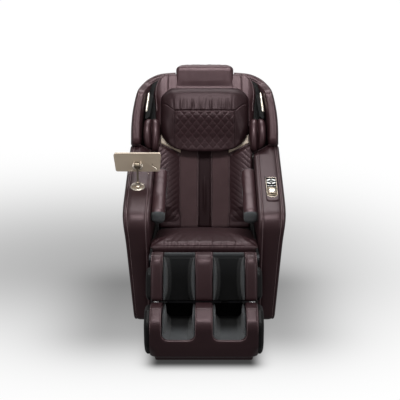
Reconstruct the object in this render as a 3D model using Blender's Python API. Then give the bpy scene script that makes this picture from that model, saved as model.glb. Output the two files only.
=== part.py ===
"""A zero gravity massage chair: steel base, tilting seat with arms, reclining back with a
massage carriage, and a lifting leg rest with a sliding foot rest.

Metres and degrees. X runs across the chair, the sitter faces -Y and Z is up. The floor is z = 0.
Left and right are the sitter's, so left is +X.
"""
import math

import bmesh
import bpy
import numpy as np
from mathutils import Matrix, Vector

# Clearances
SEAT_GAP = 0.0003          # between pieces that rest on each other
RUN_GAP = 0.0006           # round shafts, rods and slides that move
SOFT_GAP = 0.0008          # between upholstered pieces

# Arms and the space between them
HALF_GAP = 0.258           # half the clear width between the arms
ARM_OUTER = HALF_GAP + 0.129   # half the width over the arms at the waist
ARM_FLARE = 0.077          # how far an arm draws in per metre below the waist
ARM_WAIST_Z = 0.600
ARM_FRONT_Y = -0.345
ARM_BOTTOM_Z = 0.046
ARM_FRONT_TOP_Z = 0.573
ARM_SLOPE = 20.0
ARM_ROLL = 0.090           # radius of the rolled front of an arm
ARM_REAR_RADIUS = 0.445    # rear of an arm, about the recline shaft
ARM_NOTCH_RADIUS = ARM_REAR_RADIUS - 0.041   # inner half of that rear, under the shoulder pad
ARM_NOTCH_X = HALF_GAP + 0.080
ARM_TAIL_Y = 0.500
ARM_HEEL_Y = 0.420
SIDE_PANEL = 0.020         # thickness of an arm's outer panel
FOREARM_INNER_X = HALF_GAP - 0.062
FOREARM_FRONT_Y = -0.262
FOREARM_REAR_Y = 0.125
FOREARM_DROP = 0.020       # forearm pad below the arm's top
FOREARM_DEPTH = 0.068

# Joint axes
TILT_Y = 0.300
TILT_Z = 0.130
TILT_RANGE = 12.0
RECLINE_Y = 0.160
RECLINE_Z = 0.360
RECLINE_RANGE = 40.0
BACK_LEAN = 26.0
LEG_Y = -0.430
LEG_Z = 0.395
LEG_RANGE = 60.0
LEG_LEAN = 22.0
EXTENSION = 0.120          # travel of the foot rest

# Base
PAD_HEIGHT = 0.012
RAIL_X = HALF_GAP - 0.063
RAIL_WIDTH = 0.040
RAIL_HEIGHT = 0.048
BASE_FRONT_Y = -0.330
BASE_REAR_Y = 0.385
CROSS_YS = (-0.310, 0.0, 0.310)
CROSS_WIDTH = 0.040
CROSS_DROP = 0.001         # cross tubes below the rails' tops
EAR_RADIUS = 0.030
TILT_PIN = 0.012
WHEEL_RADIUS = 0.028
WHEEL_WIDTH = 0.024
WHEEL_LIFT = 0.006
WHEEL_AXLE = 0.006
BOX_HALF_X = 0.120
BOX_FRONT_Y = -0.012
BOX_REAR_Y = 0.284
BOX_HEIGHT = 0.056
SWITCH_X = 0.070
SWITCH_WIDTH = 0.024
SWITCH_RADIUS = 0.009

# Seat
PLATE_INNER_X = HALF_GAP - 0.012
PAN_Z = 0.325
PAN_THICK = 0.008
PAN_FRONT_Y = -0.345
PAN_REAR_Y = 0.060
SHAFT_RADIUS = 0.012
LEG_SHAFT_RADIUS = 0.010
CUSHION_HALF_X = HALF_GAP - 0.0135
CUSHION_FRONT_Y = -0.376
CUSHION_REAR_Y = 0.104
CUSHION_CREST_Z = 0.466
CUSHION_REAR_Z = 0.388
CUSHION_CROWN = 0.004

# Actuators
TUBE_RADIUS = 0.017
ROD_RADIUS = 0.008
PIN_RADIUS = 0.006
EYE_WIDTH = 0.010
RECLINE_LEVER = 0.130
LEG_LEVER = 0.100
LEG_DRIVE_X = -0.100
TILT_DRIVE_X = 0.100
TILT_PIN_Y = -0.200
TILT_PIN_Z = 0.290

# Back, in its own axes: z up along the back, -y out of its front
BACK_HALF_X = HALF_GAP - 0.015
BACK_BOTTOM = 0.032
BACK_LIP = -0.004          # lower edge of its front, over the seat
BACK_WAIST_X = HALF_GAP - 0.0025   # half its width between the arms
BACK_TOP = 0.848
BACK_REAR = -0.012
BACK_FRONT = -0.058
BOLSTER_RISE = 0.046
BOLSTER_X = BACK_HALF_X - 0.112
RIB_PITCH = 0.037
RIB_DEPTH = 0.006
STRIP_TOP = 0.416
POCKET_INNER_X = 0.044
POCKET_OUTER_X = 0.122
POCKET_DEPTH = 0.030
COVER_REAR = 0.130
COVER_WALL = 0.006
COVER_SIDE = 0.012
TIE_ZS = (0.060, BACK_TOP - 0.208)   # crossbars of the back's frame
RAIL_INNER_X = 0.126
TRACK_WIDTH = 0.018
TRACK_DEPTH = 0.030
TRACK_FRONT = 0.012
WING_RADIUS = ARM_REAR_RADIUS + 0.011   # lower edge of a wing, about the recline shaft
WING_THICK = 0.066
WING_FRONT = -0.135
WING_REAR = 0.112
WING_TIP_FRONT = -0.030    # front of a wing's upper end, behind the back's top corner
CORNER_REAR = -0.034       # rear of that corner
# outside HALF_GAP, and up from the lower edge to BACK_TOP as a share
WING_PATH = ((0.099, 0.03571), (0.0975, 0.18878), (0.0925, 0.36735), (0.082, 0.54082), (0.0675, 0.69133),
             (0.0565, 0.76786), (0.032, 0.85969), (-0.021, 0.95153), (-0.1, 0.98469))
BAR_WIDTH = 0.026
BAR_BOTTOM = BACK_TOP - 0.265
BAR_TOP = BACK_TOP - 0.133
BAR_FRONT = -0.100
BAR_REAR = -0.052
WING_HOLLOW = 0.0008       # how far a wing's flank falls back at a bar
SHOULDER_X = HALF_GAP + 0.0235
SHOULDER_HALF = 0.0425
SHOULDER_ROOT = (HALF_GAP - 0.012, HALF_GAP + 0.052)   # inner and outer edge where a pad is fixed
SHOULDER_TOP = BACK_TOP - 0.276
SHOULDER_FRONT = -0.152
PILLOW_HALF_X = BACK_HALF_X - 0.007
PILLOW_BOTTOM = 0.402
PILLOW_TOP = BACK_TOP - 0.113
PILLOW_DEPTH = 0.088
PILLOW_KICK = 0.036         # how far its lower edge stands off, over the bolsters
QUILT_WIDTH = 0.047
QUILT_DEPTH = 0.005
NECK_THICK = 0.006
FLAP_HALF_X = HALF_GAP - 0.110
FLAP_THICK = 0.022
FLAP_TOP = BACK_TOP + 0.049
FLAP_LIFT = 0.024          # its front edge above the pillow
FLAP_HEM = BACK_TOP - 0.058   # lower edge of the flap behind the back

# Massage carriage
CARRIAGE_Z = 0.250
CARRIAGE_HALF_Z = 0.050
ROLLER_X = 0.083
ROLLER_RADIUS = 0.030
ROLLER_WIDTH = 0.026
TAP_Y = 0.052
ROLLER_Y = -0.010
TAP_SHAFT = 0.007

# Leg rest, in its own axes: z up along the leg, -y out of its front
LEG_HALF_X = HALF_GAP - 0.015
CALF_FRONT = -0.137
CALF_REAR = 0.036
CALF_TOP = 0.035
CALF_BOTTOM = -0.193
WELL_INNER_X = 0.039
WELL_OUTER_X = LEG_HALF_X - 0.055
CALF_WELL_FLOOR = -0.024
COVER_OUTER_X = LEG_HALF_X + 0.023
SLIDE_X = LEG_HALF_X - 0.027
SLIDE_Y = -0.048
SLIDE_RADIUS = 0.011

# Foot rest, in the chair's axes
FOOT_FRONT_Y = -0.786
FOOT_REAR_Y = -0.440
FOOT_BOTTOM_Z = 0.048
FOOT_TOP_Z = 0.268
FOOT_WELL_Z = 0.116
FOOT_LIP_Z = 0.142
FOOT_WELL_FRONT_Y = -0.762
FOOT_WELL_REAR_Y = -0.462
SOLE_FRONT_Y = -0.714
SOLE_REAR_Y = -0.480
SOLE_Z = 0.008
LINER_SIDE = 0.014
LINER_FLOOR = 0.010

# Tablet holder and controls on the arms
HOLDER_X = -HALF_GAP - 0.072
HOLDER_Y = -0.103
HOLDER_DISC = 0.037
HOLDER_STEM = 0.112
STEM_RADIUS = 0.005
HUB_RADIUS = 0.017
HUB_HALF = 0.014
YOKE_THICK = 0.004
YOKE_PIN = 0.0035
PLATE_WIDTH = 0.236
PLATE_HEIGHT = 0.104
PLATE_THICK = 0.003
PLATE_LEAN = 18.0
PANEL_X = HALF_GAP + 0.0745
PANEL_Y = -0.1147
PANEL_WIDTH = 0.061
PANEL_LENGTH = 0.221
PANEL_HEIGHT = 0.010
KEY_LENGTH = 0.021
KEY_WIDTH = 0.009
KEY_TRAVEL = 0.001
KEY_SKEW = 30.0
DIAL_RADIUS = 0.021
DIAL_Y = -0.0435
KEY_ROWS = (0.0616, 0.0350)
KEY_X = 0.0125

FRAMES = {}
PLACES = {}
MATERIALS = {}
FINISHES = {
    "leather": ((0.062, 0.040, 0.041), 0.42, 0.0),
    "grey_cloth": ((0.060, 0.060, 0.064), 0.9, 0.0),
    "black_plastic": ((0.010, 0.010, 0.011), 0.35, 0.0),
    "gold": ((0.50, 0.41, 0.30), 0.28, 1.0),
    "steel": ((0.20, 0.20, 0.21), 0.45, 1.0),
    "bright_steel": ((0.55, 0.55, 0.56), 0.25, 1.0),
    "rubber": ((0.015, 0.015, 0.016), 0.9, 0.0),
    "white_plastic": ((0.70, 0.70, 0.68), 0.5, 0.0),
}


def finish(name):
    if name not in MATERIALS:
        colour, roughness, metallic = FINISHES[name]
        made = bpy.data.materials.new(name)
        made.use_nodes = True
        shader = made.node_tree.nodes["Principled BSDF"]
        shader.inputs["Base Color"].default_value = (*colour, 1.0)
        shader.inputs["Roughness"].default_value = roughness
        shader.inputs["Metallic"].default_value = metallic
        MATERIALS[name] = made
    return MATERIALS[name]


def add_frame(name, parent, place, lean=0.0):
    """An empty on a joint's axis; positive lean tips its z axis towards +Y."""
    empty = bpy.data.objects.new(name + "_axis", None)
    bpy.context.scene.collection.objects.link(empty)
    world = Matrix.Translation(place) @ Matrix.Rotation(math.radians(-lean), 4, "X")
    if parent:
        empty.parent = FRAMES[parent]
        empty.matrix_basis = PLACES[parent].inverted() @ world
    else:
        empty.matrix_basis = world
    FRAMES[name] = empty
    PLACES[name] = world


def add_piece(name, shape, body, look, axes=None):
    """One piece of a body. Its points are in the named axes, or in the chair's without one."""
    verts, faces = shape
    mesh = bpy.data.meshes.new(name)
    mesh.from_pydata([tuple(v) for v in verts], [], [tuple(f) for f in faces])
    bm = bmesh.new()
    bm.from_mesh(mesh)
    bmesh.ops.recalc_face_normals(bm, faces=bm.faces)
    bm.to_mesh(mesh)
    bm.free()
    here = PLACES[axes] if axes else Matrix.Identity(4)
    mesh.transform(PLACES[body].inverted() @ here)
    mesh.materials.append(finish(look))
    mesh.shade_smooth()
    mesh.set_sharp_from_angle(angle=math.radians(38))
    piece = bpy.data.objects.new(name, mesh)
    bpy.context.scene.collection.objects.link(piece)
    piece.parent = FRAMES[body]
    return piece


def add_tool(piece, shape, operation, axes=None):
    """A Boolean on a piece, with a tool shape that is left out of the model."""
    body = next(key for key, empty in FRAMES.items() if empty == piece.parent)
    name = f"{piece.name}_{operation.lower()}_{len(piece.modifiers)}"
    tool = add_piece(name, shape, body, "steel", axes)
    tool.hide_render = True
    tool.display_type = "WIRE"
    change = piece.modifiers.new(name, "BOOLEAN")
    change.operation = operation
    change.object = tool
    change.solver = "EXACT"


def cut(piece, shape, axes=None):
    add_tool(piece, shape, "DIFFERENCE", axes)


def fuse(piece, shape, axes=None):
    add_tool(piece, shape, "UNION", axes)


def several(*shapes):
    """Separate shapes gathered as one list of points and faces."""
    verts = []
    faces = []
    for some_verts, some_faces in shapes:
        start = len(verts)
        verts.extend(some_verts)
        faces.extend([[start + index for index in face] for face in some_faces])
    return verts, faces


def loft(rings, split=None, strip_start=False):
    """A closed skin over rings of equal length; split(row, column) picks a quad's diagonal.

    With strip_start the first end is closed in strips between points i and count - 1 - i.
    """
    rings = [list(ring) for ring in rings]
    count = len(rings[0])
    verts = [point for ring in rings for point in ring]
    faces = [list(range(count))[::-1]]
    if strip_start:
        faces = [[i, i + 1, count - 2 - i, count - 1 - i] for i in range(count // 2 - 1)]
    for row in range(len(rings) - 1):
        for column in range(count):
            a = row * count + column
            b = row * count + (column + 1) % count
            c = b + count
            d = a + count
            way = split(row, column) if split else 0
            if way == 0:
                faces.append([a, b, c, d])
            elif way > 0:
                faces.extend([[a, b, c], [a, c, d]])
            else:
                faces.extend([[a, b, d], [b, c, d]])
    faces.append([(len(rings) - 1) * count + index for index in range(count)])
    return verts, faces


def rounded(corners, steps=4):
    """A closed outline through corners (a, b, radius) with round corners."""
    points = []
    for index, (a, b, radius) in enumerate(corners):
        here = Vector((a, b))
        before = (Vector(corners[index - 1][:2]) - here).normalized()
        after = (Vector(corners[(index + 1) % len(corners)][:2]) - here).normalized()
        half = 0.5 * before.angle(after)
        if radius <= 0.0 or half > math.radians(89.0):
            points.append((a, b))
            continue
        reach = radius / math.tan(half)
        middle = here + (before + after).normalized() * (radius / math.sin(half))
        first = here + before * reach - middle
        last = here + after * reach - middle
        for step in range(steps + 1):
            part = step / steps
            spoke = first.lerp(last, part)
            points.append(tuple(middle + spoke.normalized() * radius))
    return points


def arc(middle, radius, start, end, steps):
    angles = np.radians(np.linspace(start, end, steps + 1))
    return [(middle[0] + radius * math.cos(t), middle[1] + radius * math.sin(t)) for t in angles]


def shrink(outline, inset):
    """An outline moved inwards by inset along its corner normals."""
    points = np.array(outline)
    ahead = np.roll(points, -1, axis=0) - points
    ahead /= np.linalg.norm(ahead, axis=1)[:, None] + 1e-12
    behind = np.roll(ahead, 1, axis=0)
    normals = np.stack([-(ahead + behind)[:, 1], (ahead + behind)[:, 0]], axis=1)
    normals /= np.linalg.norm(normals, axis=1)[:, None]
    area = np.sum(points[:, 0] * np.roll(points[:, 1], -1) - np.roll(points[:, 0], -1) * points[:, 1])
    return points + normals * inset * math.copysign(1.0, area)


def slab(outline, stations):
    """A loft along X over an outline in YZ; each station is (x, inset)."""
    rings = []
    for x, inset in stations:
        rings.append([(x, y, z) for y, z in shrink(outline, inset)])
    return loft(rings)


def dome(outline, x0, x1, share):
    """A low dome along X over an outline in YZ, drawn in by a share of its size at the top."""
    points = np.array(outline)
    middle = 0.5 * (points.min(axis=0) + points.max(axis=0))
    rings = []
    for part in (0.0, 0.45, 0.78, 0.94, 1.0):
        size = 1.0 - share * part ** 4
        rings.append([(x0 + part * (x1 - x0), *(middle + (point - middle) * size)) for point in points])
    return loft(rings)


def prism(outline, x0, x1):
    return slab(outline, [(x0, 0.0), (x1, 0.0)])


def upright(outline, z0, z1):
    """An outline in XY carried from z0 to z1."""
    return loft([[(x, y, z) for x, y in outline] for z in (z0, z1)])


def box(low, high):
    outline = [(low[1], low[2]), (high[1], low[2]), (high[1], high[2]), (low[1], high[2])]
    return prism(outline, low[0], high[0])


def bar(start, end, radius, sides=16):
    return turned([(radius, 0.0), (radius, (Vector(end) - Vector(start)).length)], start,
                  Vector(end) - Vector(start), sides)


def turned(profile, origin, direction, sides=24):
    """A profile of (radius, height) turned about a line from origin."""
    turn = Vector((0, 0, 1)).rotation_difference(Vector(direction)).to_matrix()
    rings = []
    for radius, height in profile:
        ring = []
        for index in range(sides):
            angle = 2.0 * math.pi * index / sides
            spoke = Vector((radius * math.cos(angle), radius * math.sin(angle), height))
            ring.append(tuple(Vector(origin) + turn @ spoke))
        rings.append(ring)
    return loft(rings)


def mirrored(shape, side):
    verts, faces = shape
    return [(side * v[0], v[1], v[2]) for v in verts], faces


def sided(name, side):
    return ("left_" if side > 0 else "right_") + name


def turn_about(point, axis, degrees):
    """A point (y, z) swung about an axis (y, z) the way the joints open."""
    angle = math.radians(degrees)
    y = point[0] - axis[0]
    z = point[1] - axis[1]
    return (axis[0] + y * math.cos(angle) + z * math.sin(angle),
            axis[1] - y * math.sin(angle) + z * math.cos(angle))


def arm_top(y):
    return ARM_FRONT_TOP_Z + math.tan(math.radians(ARM_SLOPE)) * (y - ARM_FRONT_Y)


def make_frames():
    add_frame("base", None, (0.0, 0.0, 0.0))
    add_frame("seat", "base", (0.0, TILT_Y, TILT_Z))
    add_frame("backrest", "seat", (0.0, RECLINE_Y, RECLINE_Z), BACK_LEAN)
    add_frame("leg", "seat", (0.0, LEG_Y, LEG_Z), LEG_LEAN)
    add_frame("foot", "leg", (0.0, FOOT_REAR_Y, FOOT_BOTTOM_Z))
    pillow = PLACES["backrest"] @ Vector((0.0, BACK_FRONT, PILLOW_TOP))
    add_frame("pillow", "backrest", pillow, BACK_LEAN)
    carriage = PLACES["backrest"] @ Vector((0.0, TAP_Y, CARRIAGE_Z))
    add_frame("carriage", "backrest", carriage, BACK_LEAN)
    for side in (1, -1):
        add_frame(sided("tap", side), "carriage", carriage, BACK_LEAN)
        roller = PLACES["backrest"] @ Vector((side * ROLLER_X, ROLLER_Y, CARRIAGE_Z))
        add_frame(sided("roller", side), sided("tap", side), roller, BACK_LEAN)
        wheel = (side * (RAIL_X - WHEEL_WIDTH / 2), BASE_REAR_Y - 0.020, WHEEL_RADIUS + WHEEL_LIFT)
        add_frame(sided("wheel", side), "base", wheel)
    add_frame("switch", "base", (SWITCH_X, BOX_REAR_Y - 0.004, box_middle_z()))
    add_frame("controls", "seat", (PANEL_X, PANEL_Y, arm_top(PANEL_Y) + SEAT_GAP), -ARM_SLOPE)
    add_frame("dial", "seat", PLACES["controls"] @ Vector((0.0, DIAL_Y, PANEL_HEIGHT)), -ARM_SLOPE)
    for name, x, y, _ in key_places():
        add_frame(name, "seat", PLACES["controls"] @ Vector((x, y, PANEL_HEIGHT)), -ARM_SLOPE)
    add_frame("holder_stem", "seat", (HOLDER_X, HOLDER_Y, arm_top(HOLDER_Y)))
    ball = (HOLDER_X, HOLDER_Y, arm_top(HOLDER_Y) + HOLDER_STEM)
    add_frame("holder_plate", "holder_stem", ball, -PLATE_LEAN)


def box_bottom():
    return rail_top() - CROSS_DROP + SEAT_GAP


def box_middle_z():
    return box_bottom() + BOX_HEIGHT / 2


def rail_top():
    return PAD_HEIGHT + SEAT_GAP + RAIL_HEIGHT


def key_places():
    """Four slanted keys round a middle point: name, x, y and skew."""
    for row, skew in zip(("rear", "front"), (-1, 1)):
        y = KEY_ROWS[0 if row == "rear" else 1]
        for side in (1, -1):
            yield f"{row}_{sided('key', side)}", side * KEY_X, y, skew * side * KEY_SKEW


def key_outline(skew, grow=0.0):
    half_x = KEY_LENGTH / 2 + grow
    half_y = KEY_WIDTH / 2 + grow
    round_end = half_y * 0.95
    flat = rounded([(-half_x, -half_y, round_end), (half_x, -half_y, round_end),
                    (half_x, half_y, round_end), (-half_x, half_y, round_end)], 3)
    angle = math.radians(skew)
    return [(x * math.cos(angle) - y * math.sin(angle), x * math.sin(angle) + y * math.cos(angle))
            for x, y in flat]


def make_base():
    low = PAD_HEIGHT + SEAT_GAP
    high = rail_top()
    rails = [box((side * RAIL_X if side > 0 else -RAIL_X - RAIL_WIDTH, BASE_FRONT_Y, low),
                 (RAIL_X + RAIL_WIDTH if side > 0 else -RAIL_X, BASE_REAR_Y, high)) for side in (1, -1)]
    base = add_piece("base_frame", several(*rails), "base", "steel")
    tubes = [box((-RAIL_X - 0.01, y - CROSS_WIDTH / 2, low),
                 (RAIL_X + 0.01, y + CROSS_WIDTH / 2, high - CROSS_DROP))
             for y in CROSS_YS]
    fuse(base, several(*tubes))
    ears = []
    pins = []
    stubs = []
    for side in (1, -1):
        ear_x = RAIL_X + 0.022
        foot = EAR_RADIUS + 0.025
        ear = arc((TILT_Y, TILT_Z), EAR_RADIUS, 0, 180, 8) + [(TILT_Y - foot, high - 0.01),
                (TILT_Y + foot, high - 0.01)]
        ears.append(mirrored(prism(ear, ear_x, RAIL_X + RAIL_WIDTH - 0.003), side))
        pins.append(mirrored(bar((ear_x + 0.004, TILT_Y, TILT_Z), (HALF_GAP - 0.0008, TILT_Y, TILT_Z),
                                 TILT_PIN), side))
        axle_y = BASE_REAR_Y - 0.020
        axle_z = WHEEL_RADIUS + WHEEL_LIFT
        stubs.append(mirrored(bar((RAIL_X + 0.01, axle_y, axle_z),
                                  (RAIL_X - WHEEL_WIDTH - 0.006, axle_y, axle_z),
                                  WHEEL_AXLE, 12), side))
    fuse(base, several(*ears))
    fuse(base, several(*pins, *stubs))
    foot_y, foot_z = tilt_foot()
    cheeks = []
    for x in (TILT_DRIVE_X - EYE_WIDTH / 2 - SEAT_GAP - 0.006, TILT_DRIVE_X + EYE_WIDTH / 2 + SEAT_GAP):
        cheek = [(CROSS_YS[0] - 0.019, high - 0.006), (CROSS_YS[0] + 0.019, high - 0.006)]
        cheeks.append(prism(cheek + arc((foot_y, foot_z), 0.013, 0, 180, 6), x, x + 0.006))
    fuse(base, several(*cheeks))
    pin = bar((TILT_DRIVE_X - 0.010, foot_y, foot_z), (TILT_DRIVE_X + 0.010, foot_y, foot_z), PIN_RADIUS, 12)
    fuse(base, pin)
    pads = [box((RAIL_X + 0.003 if side > 0 else -RAIL_X - RAIL_WIDTH + 0.003, BASE_FRONT_Y + 0.003, 0.0),
                (RAIL_X + RAIL_WIDTH - 0.003 if side > 0 else -RAIL_X - 0.003, CROSS_YS[-1] + 0.017,
                 PAD_HEIGHT))
            for side in (1, -1)]
    pad = add_piece("floor_pad", several(*pads), "base", "rubber")
    strips = [box((-RAIL_X - 0.01, y - CROSS_WIDTH / 2 + 0.003, 0.0),
                  (RAIL_X + 0.01, y + CROSS_WIDTH / 2 - 0.003, PAD_HEIGHT))
              for y in CROSS_YS]
    fuse(pad, several(*strips))
    for side in (1, -1):
        half = WHEEL_WIDTH / 2
        inner = WHEEL_AXLE + RUN_GAP
        profile = [(inner, -half + 0.001), (WHEEL_RADIUS - 0.004, -half + 0.001),
                   (WHEEL_RADIUS, -half + 0.005),
                   (WHEEL_RADIUS, half - 0.005), (WHEEL_RADIUS - 0.004, half - 0.001), (inner, half - 0.001)]
        name = sided("wheel", side)
        add_piece(name, ring(profile, (0, 0, 0), (1, 0, 0), 20), name, "rubber", name)


def ring(profile, origin, direction, sides=24):
    """A closed profile of (radius, height) turned about a line, with a hole along the line."""
    turn = Vector((0, 0, 1)).rotation_difference(Vector(direction)).to_matrix()
    verts = []
    faces = []
    count = len(profile)
    for index in range(sides):
        angle = 2.0 * math.pi * index / sides
        for radius, height in profile:
            spoke = Vector((radius * math.cos(angle), radius * math.sin(angle), height))
            verts.append(tuple(Vector(origin) + turn @ spoke))
        after = (index + 1) % sides
        for step in range(count):
            ahead = (step + 1) % count
            faces.append([index * count + step, index * count + ahead, after * count + ahead,
                          after * count + step])
    return verts, faces


def make_control_box():
    low = box_bottom()
    high = low + BOX_HEIGHT
    side = rounded([(BOX_FRONT_Y, low, 0.007), (BOX_REAR_Y, low, 0.007), (BOX_REAR_Y, high, 0.012),
                    (BOX_FRONT_Y, high, 0.012)], 3)
    shell = add_piece("control_box", slab(side, [(-BOX_HALF_X, 0.004), (-BOX_HALF_X + 0.004, 0.0),
                                                 (BOX_HALF_X - 0.004, 0.0), (BOX_HALF_X, 0.004)]), "base",
                                                     "black_plastic")
    middle = box_middle_z()
    half = SWITCH_WIDTH / 2 + RUN_GAP
    pocket = SWITCH_RADIUS + RUN_GAP
    cut(shell, box((SWITCH_X - half, BOX_REAR_Y - 0.004 - pocket, middle - pocket),
                   (SWITCH_X + half, BOX_REAR_Y + 0.01, middle + pocket)))
    vents = [box((x, BOX_FRONT_Y + 0.06, high - 0.004), (x + 0.004, BOX_REAR_Y - 0.09, high + 0.01))
             for x in np.linspace(-0.06, 0.056, 9)]
    cut(shell, several(*vents))
    rocker = [(SWITCH_RADIUS * math.cos(math.radians(t)) * shape, SWITCH_RADIUS * math.sin(math.radians(t)))
              for t, shape in ((-115, 1), (-60, 1), (0, 0.62), (60, 1), (115, 1), (180, 0.8))]
    add_piece("power_switch", prism(rocker, -SWITCH_WIDTH / 2, SWITCH_WIDTH / 2), "switch",
              "black_plastic", "switch")


def drive_points(pin, way, points):
    """Points (s, t, x) along and across a drive, from its rod's pin."""
    across = (-way[1], way[0])
    return [(x, pin[0] + way[0] * s + across[0] * t, pin[1] + way[1] * s + across[1] * t) for s, t,
            x in points]


def drive_shape(pin, way, shape):
    verts, faces = shape
    return drive_points(pin, way, [(v[1], v[2], v[0]) for v in verts]), faces


def make_drive(name, bodies, pin, way, x, tube, rod_end, slot, motor_side):
    """A linear drive: a tube with a motor beside it, and a rod whose slotted eye holds a pin."""
    start, end = tube
    shell = turned([(TUBE_RADIUS, start), (TUBE_RADIUS, end - 0.004), (TUBE_RADIUS - 0.004, end)],
                   (x, 0, 0), (0, 1, 0), 14)
    body = add_piece(name + "_actuator", drive_shape(pin, way, shell), bodies[0], "black_plastic")
    motor_t = motor_side * (2 * TUBE_RADIUS + 0.001)
    housing = rounded([(start - 0.012, -TUBE_RADIUS - 0.002, 0.01),
                       (start + 0.030, -TUBE_RADIUS - 0.002, 0.006),
                       (start + 0.030, 3 * TUBE_RADIUS + 0.003, 0.006),
                           (start - 0.012, 3 * TUBE_RADIUS + 0.003, 0.01)], 3)
    housing = [(s, motor_side * t) for s, t in housing]
    fuse(body, drive_shape(pin, way, prism(housing, x - TUBE_RADIUS - 0.002, x + TUBE_RADIUS + 0.002)))
    motor = turned([(TUBE_RADIUS, start + 0.02), (TUBE_RADIUS, start + 0.092),
                    (TUBE_RADIUS - 0.005, start + 0.097)],
                   (x, 0, motor_t), (0, 1, 0), 14)
    fuse(body, drive_shape(pin, way, motor))
    eye = [(start - 0.005, -0.012)] + arc((start - 0.030, 0.0), 0.012, 270, 90, 8) + [(start - 0.005, 0.012)]
    fuse(body, drive_shape(pin, way, prism(eye, x - EYE_WIDTH / 2, x + EYE_WIDTH / 2)))
    hole = bar((x - 0.02, start - 0.030, 0.0), (x + 0.02, start - 0.030, 0.0), PIN_RADIUS + RUN_GAP, 12)
    cut(body, drive_shape(pin, way, hole))
    bore = bar((x, start + 0.010, 0.0), (x, end + 0.02, 0.0), ROD_RADIUS + RUN_GAP, 16)
    cut(body, drive_shape(pin, way, bore))
    rod = add_piece(name + "_rod", drive_shape(pin, way, bar((x, rod_end, 0.0), (x, -0.016, 0.0),
            ROD_RADIUS)),
                    bodies[1], "bright_steel")
    height = slot + PIN_RADIUS + 0.006
    tip = rounded([(-0.024, -height, 0.005), (0.015, -height, 0.005), (0.015, height, 0.005),
                   (-0.024, height, 0.005)], 2)
    fuse(rod, drive_shape(pin, way, prism(tip, x - EYE_WIDTH / 2, x + EYE_WIDTH / 2)))
    wide = PIN_RADIUS + RUN_GAP + 0.0006
    gap = rounded([(-wide, -slot - wide, wide * 0.98), (wide, -slot - wide, wide * 0.98),
                   (wide, slot + wide, wide * 0.98), (-wide, slot + wide, wide * 0.98)], 4)
    cut(rod, drive_shape(pin, way, prism(gap, x - 0.02, x + 0.02)))


def tilt_way():
    """The pin that lifts the seat, and the straight line that it follows."""
    start = (TILT_PIN_Y, TILT_PIN_Z)
    end = turn_about(start, (TILT_Y, TILT_Z), TILT_RANGE)
    reach = math.dist(start, end)
    return start, ((end[0] - start[0]) / reach, (end[1] - start[1]) / reach), reach


def tilt_foot():
    """Where the lifting drive stands on the base's front tube."""
    pin, way, _ = tilt_way()
    down = (pin[1] - rail_top() - 0.018) / way[1]
    return pin[0] - way[0] * down, pin[1] - way[1] * down


def recline_pin():
    half = math.radians(RECLINE_RANGE / 2)
    return (RECLINE_Y + RECLINE_LEVER * math.sin(half), RECLINE_Z - RECLINE_LEVER * math.cos(half))


def leg_pin():
    half = math.radians(LEG_RANGE / 2)
    return (LEG_Y + LEG_LEVER * math.sin(half), LEG_Z - LEG_LEVER * math.cos(half))


def sagitta(lever, swing):
    return lever * (1.0 - math.cos(math.radians(swing / 2)))


def make_drives():
    pin, way, reach = tilt_way()
    foot = tilt_foot()
    start = -math.dist(pin, foot) + 0.030
    make_drive("tilt", ("base", "base"), pin, way, TILT_DRIVE_X, (start, -0.045), start + 0.030, 0.004, 1)
    add_to_body("tilt_rod", "tilt_rod", "base", (0.0, *pin))
    dip = sagitta(RECLINE_LEVER, RECLINE_RANGE)
    pin = (recline_pin()[0], recline_pin()[1] - dip / 2)
    stroke = 2.0 * RECLINE_LEVER * math.sin(math.radians(RECLINE_RANGE / 2))
    end = -0.034 - stroke
    make_drive("recline", ("seat", "seat"), pin, (1.0, 0.0), 0.0, (end - stroke - 0.055, end), end - 0.032,
               dip / 2 + 0.001, -1)
    add_to_body("recline_rod", "recline_rod", "seat", (0.0, *pin))
    dip = sagitta(LEG_LEVER, LEG_RANGE)
    pin = (leg_pin()[0], leg_pin()[1] - dip / 2)
    stroke = 2.0 * LEG_LEVER * math.sin(math.radians(LEG_RANGE / 2))
    make_drive("leg", ("seat", "seat"), pin, (-1.0, 0.0), LEG_DRIVE_X, (-0.070 - stroke, -0.040),
               -0.045 - stroke,
               dip / 2 + 0.001, 1)
    add_to_body("leg_rod", "leg_rod", "seat", (0.0, *pin))


def add_to_body(name, body, parent, place):
    """Gives a piece, with its tools, an empty of its own."""
    add_frame(body, parent, place)
    shift = PLACES[body].inverted() @ PLACES[parent]
    for thing in bpy.data.objects:
        if thing.type == "MESH" and (thing.name == name or thing.name.startswith(name + "_")):
            thing.data.transform(shift)
            thing.parent = FRAMES[body]


def drive_bracket(x, y, z, top, reach=0.016):
    """Two cheeks and a pin that hold the eye at the back of a drive, hung from a plate."""
    shapes = []
    for x0 in (x - EYE_WIDTH / 2 - SEAT_GAP - 0.006, x + EYE_WIDTH / 2 + SEAT_GAP):
        outline = [(y + reach, top + 0.004), (y - reach, top + 0.004)] + arc((y, z), 0.012, 180, 360, 6)
        shapes.append(prism(outline, x0, x0 + 0.006))
    pin = bar((x - EYE_WIDTH / 2 - 0.003, y, z), (x + EYE_WIDTH / 2 + 0.003, y, z), PIN_RADIUS, 12)
    return shapes, pin


def capsule(start, end, first, last, steps=7):
    """The outline round two circles (y, z, radius)."""
    way = math.degrees(math.atan2(end[1] - start[1], end[0] - start[0]))
    lean = math.degrees(math.asin((first - last) / math.dist(start, end)))
    return (arc(start, first, way + 90 - lean, way + 270 + lean, steps)
            + arc(end, last, way - 90 + lean, way + 90 - lean, steps))


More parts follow.
